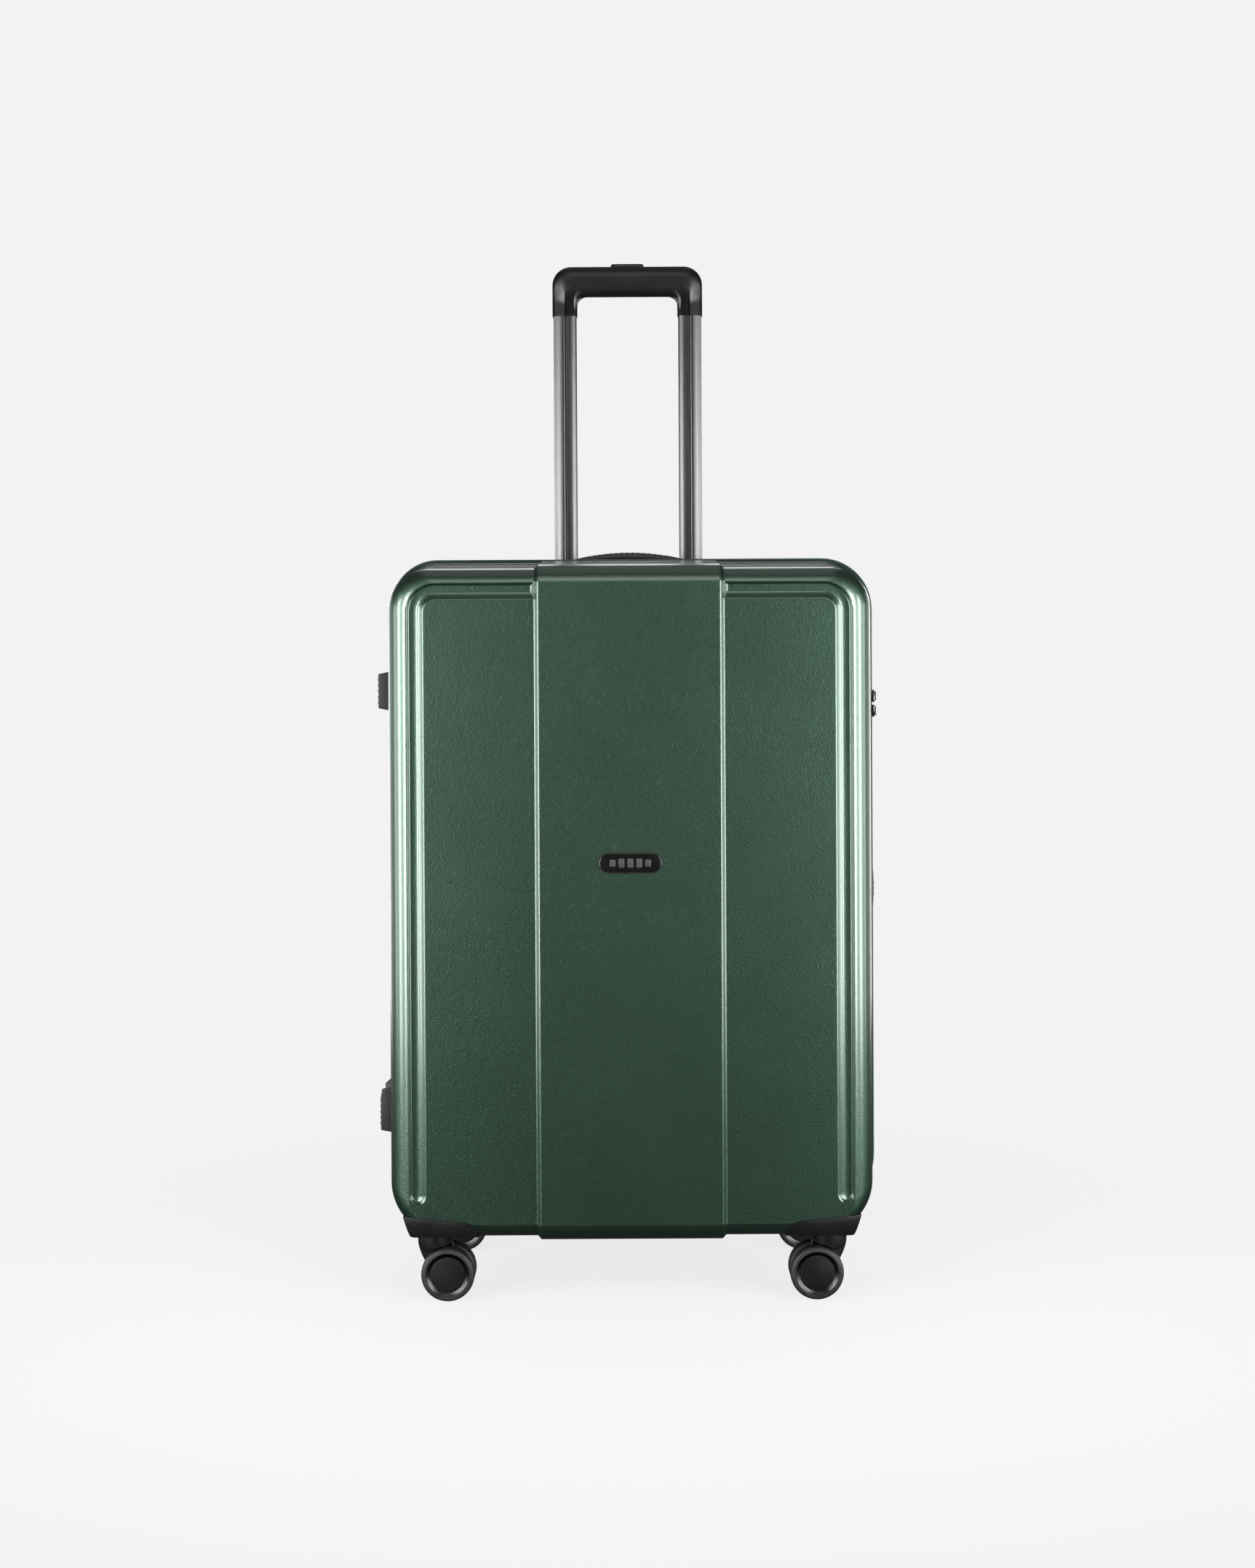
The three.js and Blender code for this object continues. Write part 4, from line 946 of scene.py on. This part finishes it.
def build_tubes():
    for hand, sx in HANDS:
        low, high = node_box(f"{hand}_pull_tube")
        loop = tube_section(sx)
        tube = skin("tube", stacked([(loop, low.z), (loop, high.z)]), ALUMINIUM, smooth=25)
        place(named(tube, f"{hand}_sliding_tube"), "pull_handle", "grey_aluminium", f"{hand}_pull_tube")
    low, high = node_box("trolley_guide")
    rail = prism("rail", rounded_box(88, 9, 3, cy=TROLLEY_Y), low.z, low.z + 8.5, "xy", ALUMINIUM, 0.8)
    parts = [rail]
    for _, sx in HANDS:
        outer = rounded_box(15.2, 10.2, 7.5, cx=sx * TUBE_X, cy=TROLLEY_Y)
        inner = rounded_box(13.3, 8.3, 6.2, cx=sx * TUBE_X, cy=TROLLEY_Y)
        levels = [(outer, low.z + 8), (outer, high.z), (inner, high.z), (inner, low.z + 8)]
        parts.append(skin("guide", stacked(levels), ALUMINIUM, closed=True))
    place(joined("trolley_guide_frame", *parts), "rear_case", "grey_aluminium", "trolley_guide")


def build_bezel():
    _, high = node_box("trolley_bezel")
    y = TROLLEY_Y
    levels = [
        (rounded_box(90, 15.5, 9, cy=y), high.z - 5), (rounded_box(92, 17.5, 11, cy=y), high.z - 5),
        (rounded_box(92, 17.5, 11, cy=y), high.z - 1.2), (rounded_box(91.2, 16.7, 10.2, cy=y), high.z),
        (rounded_box(88.8, 14.3, 7.8, cy=y), high.z), (rounded_box(88, 13.5, 7, cy=y), high.z - 0.8),
        (rounded_box(88, 13.5, 7, cy=y), 712.8), (rounded_box(87, 12.5, 6, cy=y), 712),
        (rounded_box(50, 6, 3, cy=y), 712), (rounded_box(50, 6, 3, cy=y), 709),
        (rounded_box(90, 15.5, 9, cy=y), 709),
    ]
    cup = skin("cup", stacked(levels), BLACK, closed=True)
    floor = prism("floor", rounded_box(50.2, 6.2, 3, cy=y), 709, 711.98, "xy", BLACK)
    cutters = []
    for _, sx in HANDS:
        hole = [(sx * TUBE_X + a, y + b) for a, b in rounded_box(13.4, 8.4, 6.4)]
        cutters.append(prism("hole", hole, 700, 720, "xy", BLACK))
    cut_by(cup, *cutters)
    collars = []
    for _, sx in HANDS:
        outer = rounded_box(14.8, 9.6, 7.4, cx=sx * TUBE_X, cy=y)
        inner = rounded_box(13.35, 8.3, 6.4, cx=sx * TUBE_X, cy=y)
        levels = [(outer, 712), (outer, 712.7), (inner, 713), (inner, 712)]
        collars.append(skin("collar", stacked(levels), BLACK, closed=True))
    place(joined("trolley_cup", cup, floor, *collars), "rear_case", "black_plastic", "trolley_bezel")


def grip_line(half, top, bottom, radius, legs, corner, bar):
    """Stations up the left leg, round the corner, along the bar and down the right leg."""
    left = [(-half, z) for z in np.linspace(bottom, top - radius, legs, endpoint=False)]
    left += arc(radius - half, top - radius, radius, 180, 90, corner)
    middle = [(x, top) for x in np.linspace(radius - half, half - radius, bar)[1:-1]]
    return left + middle + [(-x, z) for x, z in reversed(left)]


def leg_depth(u):
    """Half depth of a grip leg across its width: two facets with a groove between, rounded edges."""
    facet = 9.8 - (3.9 if u > 0 else 3.0) * abs(u)
    edge = 3.2 * max(0.0, (abs(u) - 0.88) / 0.12) ** 2
    groove = 1.3 if -0.10 < u < -0.005 else 0.0
    return facet - edge - groove


def build_grip():
    low, high = node_box("grip")
    bottom = low.z - GRIP_DROP
    outer = grip_line(84.3, high.z, bottom, 21, 14, 20, 26)
    inner = grip_line(56.4, GRIP_INSIDE, bottom, 11, 14, 20, 26)
    count = len(outer)
    across = [
        -1, -0.99, -0.965, -0.93, -0.88, -0.75, -0.6, -0.4, -0.2, -0.115, -0.1, -0.085, -0.02, -0.005, 0.01,
        0.1, 0.25, 0.4, 0.6, 0.75, 0.88, 0.93, 0.965, 0.99, 1,
    ]
    rings = []
    for i, ((ox, oz), (ix, iz)) in enumerate(zip(outer, inner)):
        s = min(i, count - 1 - i)
        bar = min(max((s - 7) / 20, 0), 1)
        bar = bar * bar * (3 - 2 * bar)
        mid, half = ((ox + ix) / 2, (oz + iz) / 2), ((ox - ix) / 2, (oz - iz) / 2)
        depths = []
        for u in across:
            crown = 11.9 * (1 - abs(u) ** 3.4) ** (1 / 2.6)
            depths.append(max(leg_depth(u) + (crown - leg_depth(u)) * bar, 0.2 if bar > 0.5 else 2.0))
        front = [(mid[0] + half[0] * u, TROLLEY_Y - d, mid[1] + half[1] * u) for u, d in zip(across, depths)]
        back = [(x, 2 * TROLLEY_Y - y, z) for x, y, z in front]
        rings.append(front + back[::-1])
    body = skin("grip_body", rings, GRIP, smooth=38)
    _, button_top = node_box("grip_button")
    button = rounded_box(18.9, 7.1, 5, cy=TROLLEY_Y)
    pocket = prism("pocket", button, high.z - 7.5, high.z + 6, "xy", GRIP)
    cut_by(body, pocket)
    screws = []
    for x in (-36, 36):
        turned = Matrix.Translation(Vector((
            x, TROLLEY_Y, 1071.2,
        )) * MM) @ Matrix.Rotation(math.radians(-90), 4, "X")
        screws.append(screw(turned, 0, 0, 0, 2.9))
    place(joined("grip_handle", body, *screws), "pull_handle", "soft_black", "grip")
    cap = prism("cap", rounded_box(18.3, 6.5, 5, cy=TROLLEY_Y), high.z - 4, button_top.z, "xy", BLACK, 0.9, 3)
    place(named(cap, "grip_button_cap"), "release_button", "black_plastic", "grip_button")


# ---------------------------------------------------------------- casters
def build_housing(name, sx, side):
    rounded = [(62, 69), (128, 69)] + bezier((128, 69), (141, 69.4), (148, 74), (149.5, 86), 8)[1:]
    rounded += [(149.5, 110), (62, 110)]
    block = prism(
        "block", mirrored_outline(housing_outline(), sx), *sorted((side * 62, side * 149.5)), "xz",
        BLACK,
    )
    keep = prism("keep", [(side * y, z) for y, z in rounded], -250, 250, "yz", BLACK)
    cut_by(block, keep, operation="INTERSECT")
    bevelled(block, 1.1, 3, 40)
    bore = prism(
        "bore", rounded_box(5.4, 5.4, 5.39, 6, cx=sx * SWIVEL_X, cy=side * SWIVEL_Y), 60, 85.5, "xy",
        BLACK,
    )
    cut_by(block, bore)
    collar = lathe("collar", [(5.6, 68.9), (21, 68.9), (21, 68.2), (19.4, 67.95), (5.6, 67.95)],
                   (sx * SWIVEL_X, side * SWIVEL_Y, 0), "z", BLACK, 64)
    screws = []
    for x, y in ((165, 72), (165, 132), (216, 72), (216, 132)):
        turned = Matrix.Translation(Vector((
            sx * x, side * y, 69.1,
        )) * MM) @ Matrix.Rotation(math.radians(-90), 4, "X")
        screws.append(screw(turned, 0, 0, 0, 2.4))
    place(joined(f"{name}_corner", block, collar, *screws), f"{name.split('_')[0]}_case", "black_plastic",
          f"{name}_caster_housing")


def build_fork(name, sx, side):
    cx, cy, wx, wz = SWIVEL_X, side * SWIVEL_Y, WHEEL_X, WHEEL_R
    web = [(187, 66.6), (221.5, 66.6), (221.6, 58)] + bezier(
        (221.6, 58), (220, 46), (213, 32), (200, 22), 10,
    )[1:]
    web += arc(wx, wz, 9, -40, -180, 10)
    web += bezier((181, 27.5), (181, 40), (184, 52), (187, 62), 8)[1:]
    leg = prism("leg", [(sx * x, z) for x, z in web], cy - 3.4, cy + 3.4, "xz", BLACK, 0.9, 3)
    pin = lathe("pin", [(0, 67), (5, 67), (5, 83), (4, 84), (0, 84)], (sx * cx, cy, 0), "z", STEEL, 32)
    profile = [(0, 50), (14.5, 50), (16.6, 52), (17.6, 56), (18, 62), (18, 66.6), (17.2, 67.6), (0, 67.6)]
    hub = lathe("hub", profile, (sx * cx, cy, 0), "z", BLACK, 64)
    rooms = []
    for end in (-1, 1):
        room = [(0, cy + end * 3.4), (29.2, cy + end * 3.4), (29.2, cy + end * 30), (0, cy + end * 30)]
        rooms.append(lathe("room", room, (sx * wx, 0, wz), "y", BLACK, 64))
    cut_by(hub, *rooms)
    low, high = node_box(f"{name}_axle")
    axle = lathe("axle", [
        (0, low.y), (2.6, low.y), (3, low.y + 0.4), (3, high.y - 0.4), (2.6, high.y), (0, high.y),
    ],
                 (sx * wx, 0, wz), "y", STEEL, 32)
    fork = joined(f"{name}_fork", leg, hub, pin)
    place(fork, f"{name}_caster", "black_plastic", f"{name}_caster_fork")
    place(named(axle, f"{name}_wheel_axle"), f"{name}_caster", "dark_steel", f"{name}_axle")


def build_wheel(name, sx, side, which):
    end = side if which == "outer" else -side
    low, high = node_box(f"{name}_{which}_tyre")
    centre = (sx * WHEEL_X, (low.y + high.y) / 2, WHEEL_R)
    tread = [
        (22.25, -8.5), (24.6, -8.5), (25.0, -8.35), (25.3, -8.2), (26.1, -7.7), (26.9, -6.7), (27.35, -5.4),
        (27.5, -4), (27.5, 4), (27.35, 5.4), (26.9, 6.7), (26.1, 7.7), (25.3, 8.2), (25.0, 8.35), (24.6, 8.5),
        (22.25, 8.5),
    ]
    tyre = lathe("tyre", [(r, end * h) for r, h in tread], centre, "y", RUBBER, 96)
    mould = [(24.7, 8.35), (24.7, 8.72), (24.3, 8.72), (24.3, 8.35)]
    line = lathe("line", [(r, end * h) for r, h in mould], centre, "y", RUBBER, 96)
    place(
        joined(f"{name}_{which}_tread", tyre, line), f"{name}_{which}_wheel", "tyre_rubber",
        f"{name}_{which}_tyre",
    )
    ring = [
        (18.2, 4), (18.2, 6.35), (18.35, 6.5), (
            18.7, 6.6,
        ), (19.6, 7.0), (20.6, 7.5), (21.4, 8.05), (21.8, 8.4),
        (22.0, 8.45), (22.05, 8.2), (22.05, -8.2), (21.8, -8.4), (18.2, -8.4),
    ]
    dish = lathe("dish", [(r, end * h) for r, h in ring], centre, "y", RING, 96)
    cap = [
        (0, -8.2), (18.1, -8.2), (18.1, 5.9), (17.9, 6.15), (17.5, 6.25), (0, 6.3),
    ]
    centre_cap = lathe("cap", [(r, end * h) for r, h in cap], centre, "y", CAP, 96)
    place(joined(f"{name}_{which}_disc", dish, centre_cap), f"{name}_{which}_wheel", "hub_metal",
          f"{name}_{which}_hub")


def build_casters():
    for name, side in SIDES:
        for hand, sx in HANDS:
            corner = f"{name}_{hand}"
            build_housing(corner, sx, side)
            build_fork(corner, sx, side)
            for which in ("outer", "inner"):
                build_wheel(corner, sx, side, which)


# ---------------------------------------------------------------- inside: linings and hinge
def cloth_lining(name):
    """The lining on its CAD shape, divided finely and given the slight waves of cloth held by glue."""
    mesh = frame["nodes"][f"{name}_lining"].data.copy()
    mesh.materials.clear()
    mesh.materials.append(LINING)
    obj = bpy.data.objects.new(f"{name}_cloth_lining", mesh)
    bpy.context.scene.collection.objects.link(obj)
    bm = bmesh.new()
    bm.from_mesh(mesh)
    bmesh.ops.remove_doubles(bm, verts=bm.verts, dist=1e-6)
    for _ in range(4):
        long_edges = [e for e in bm.edges if e.calc_length() > 0.022]
        bmesh.ops.subdivide_edges(bm, edges=long_edges, cuts=1)
        bmesh.ops.triangulate(bm, faces=bm.faces)
    geometry_noise.seed_set(1)  # unseeded, noise_vector starts from the clock
    for vert in bm.verts:
        vert.co += geometry_noise.noise_vector(vert.co * 22) * 0.0005
    bm.to_mesh(mesh)
    bm.free()
    shade(obj, 32)
    return obj


def piping(name, side):
    """Corded edge of the lining, just inside the shell's rim."""
    y = 16.0
    flat, normal = outline_points(between(RIM, SHOULDER, y / SHOULDER["y"]))
    rings = []
    for (x, z), (nx, nz) in zip(flat, normal):
        ring = arc(0, 0, 1.3, 0, 315, 7)
        rings.append([(x + nx * (a - 4.0), side * (y + b), z + nz * (a - 4.0)) for a, b in ring])
    return skin(f"{name}_lining_piping", rings, WEB, closed=True, smooth=60)


def pocket_zip():
    """Zip of the flat pocket in the front half: tape with stitching, teeth and a pull."""
    y, z, reach = -146.6, 560, 184
    tape = prism("tape", rounded_box(reach, 13, 2, cy=z), y, y + 0.9, "xz", WEB, 0.3)
    stitches = [
        prism("stitch", rounded_box(1.4, 0.3, 0.25, 2, cx=x, cy=z + s * 11), y + 0.7, y + 1.2, "xz", SOFT)
        for s in (-1, 1) for x in range(4 - reach, reach - 3, 8)
    ]
    teeth = [
        prism("tooth", rounded_box(0.6, 2.4, 0.2, 1, cx=x, cy=z), y + 0.7, y + 1.9, "xz", SOFT)
        for x in range(8 - reach, reach - 7, 3)
    ]
    slider = prism("slider", rounded_box(5.5, 4, 1.5, 4, cx=166, cy=z), y + 0.6, y + 3.2, "xz", STEEL, 0.5)
    tab = prism("tab", rounded_box(2.6, 11, 2, 5, cx=166, cy=z - 13), y + 1.6, y + 3.0, "xz", STEEL, 0.4)
    return joined("pocket_zip", tape, *stitches, *teeth, slider, tab)


def build_linings():
    for name, side in SIDES:
        cloth = cloth_lining(name)
        place(cloth, f"{name}_case", "lining_fabric", f"{name}_lining")
        extras = [place(piping(name, side), f"{name}_case", "lining_fabric")]
        if side < 0:
            extras.append(place(pocket_zip(), "front_case", "lining_fabric"))


def build_hinge():
    """The fabric hinge between the shells: a thin strip, bowed a little outwards along its middle."""
    low, high = node_box("hinge_strip")
    columns = np.linspace(-15, 15, 25)
    heights = np.linspace(low.z, high.z, 60)
    points = []
    for z in heights:
        for y in columns:
            bulge = 0.9 * math.cos(y / 15 * math.pi / 2) ** 2
            points.append((low.x + 0.6 - bulge, y, z))
    faces = strip_faces(len(heights), len(columns), False, False)
    cloth = mesh_object("hinge_cloth", points, faces, WEB, 60)
    solid = cloth.modifiers.new("cloth", "SOLIDIFY")
    solid.thickness = 0.8 * MM
    baked(cloth, 60)
    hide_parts("hinge_strip")
    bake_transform(cloth)


# ---------------------------------------------------------------- studio
def area_light(name, location, target, size, power):
    data = bpy.data.lights.new(name, "AREA")
    data.shape = "RECTANGLE"
    data.size, data.size_y = size
    data.energy = power
    light = bpy.data.objects.new(name, data)
    light.location = location
    light.rotation_mode = "QUATERNION"
    light.rotation_quaternion = (Vector(target) - Vector(location)).to_track_quat("-Z", "Y")
    light.visible_camera = False
    bpy.context.scene.collection.objects.link(light)


def world_light():
    """What the surfaces reflect besides the lights: dark all round, a little lighter overhead."""
    world = bpy.data.worlds.new("studio")
    tree = Tree(world, "Background", Strength=1.0)
    split = tree.add("SeparateXYZ")
    tree.link(tree.coords("Generated"), split, "Vector")
    tree.ramp(split.outputs["Z"], [(0.0, FRONT_GREY), (0.35, FRONT_GREY), (1.0, TOP_GREY)], "Color")
    bpy.context.scene.world = world


def build_backdrop():
    """A pale dome that only the camera sees, so the horizon stays plain from every side."""
    bpy.ops.mesh.primitive_uv_sphere_add(segments=48, ring_count=24, radius=30)
    dome = bpy.context.active_object
    dome.name = "backdrop"
    white = material_tree(
        "backdrop_white", Base_Color=(0, 0, 0, 1), Specular_IOR_Level=0.0,
        Emission_Color=(PALE, PALE, PALE, 1), Emission_Strength=1.0,
    )
    dome.data.materials.append(white.owner)
    dome.visible_diffuse = dome.visible_glossy = dome.visible_transmission = dome.visible_shadow = False


def build_floor():
    """A pale floor: lit near the case, plain as the backdrop further off."""
    bpy.ops.mesh.primitive_plane_add(size=58)
    floor = bpy.context.active_object
    floor.name = "floor"
    tree = material_tree("floor_white", Emission_Strength=1.0, Roughness=0.8, Specular_IOR_Level=0.0)
    reach = tree.math("LENGTH", tree.coords(), kind="VectorMath", output="Value")
    fade = tree.add("MapRange", From_Min=0.35, From_Max=1.0)
    fade.interpolation_type = "SMOOTHSTEP"
    tree.link(reach, fade, "Value")
    tree.ramp(fade.outputs["Result"], [(0.0, FLOOR_ALBEDO), (1.0, 0.0)], "Base Color")
    tree.ramp(fade.outputs["Result"], [(0.0, FLOOR_GLOW), (1.0, PALE)], "Emission Color")
    floor.data.materials.append(tree.owner)
    floor.visible_glossy = False


def build_studio():
    build_backdrop()
    build_floor()
    world_light()
    for name, side in SIDES:
        for hand, sx in HANDS:
            corner = Vector((sx * 0.23, side * 0.15, 0))
            for i, (turn, height, tall, power) in enumerate(STRIPS):
                turn = math.radians(turn)
                way = Vector((sx * math.sin(turn), side * math.cos(turn), 0))
                aim = corner + Vector((0, 0, height))
                share = 1.0 if side < 0 else REAR_SHARE
                size = (STRIP_WIDE, tall)
                area_light(f"{name}_{hand}_strip_{i + 1}", aim + way * STRIP_REACH, aim, size, power * share)
        area_light(f"{name}_key", (0, side * 2.2, 2.2), (0, side * 0.15, 0.5), (1.2, 0.6), KEY_POWER)
        area_light(f"{name}_back", (0, side * 1.3, 1.9), (0, side * 0.15, 0.7), (1.4, 0.5), BACK_POWER)
    area_light("top_box", (0, 0, 2.4), (0, 0, 0.5), (1.4, 1.4), TOP_POWER)


def build_camera():
    data = bpy.data.cameras.new("camera")
    data.lens = CAMERA["lens"]
    data.sensor_width = 36
    data.clip_end = 100
    data.shift_y = CAMERA["shift_y"]
    camera = bpy.data.objects.new("camera", data)
    camera.location = CAMERA["at"]
    camera.rotation_euler = (math.radians(90 - CAMERA["pitch"]), math.radians(CAMERA["roll"]), 0)
    bpy.context.scene.collection.objects.link(camera)
    bpy.context.scene.camera = camera


bpy.context.scene.view_settings.view_transform = "Standard"
build_camera()
build_studio()
build_shells()
build_badge()
build_zips()
build_sliders()
build_feet()
build_carry_handles()
build_lock()
build_tubes()
build_bezel()
build_grip()
build_casters()
build_linings()
build_hinge()
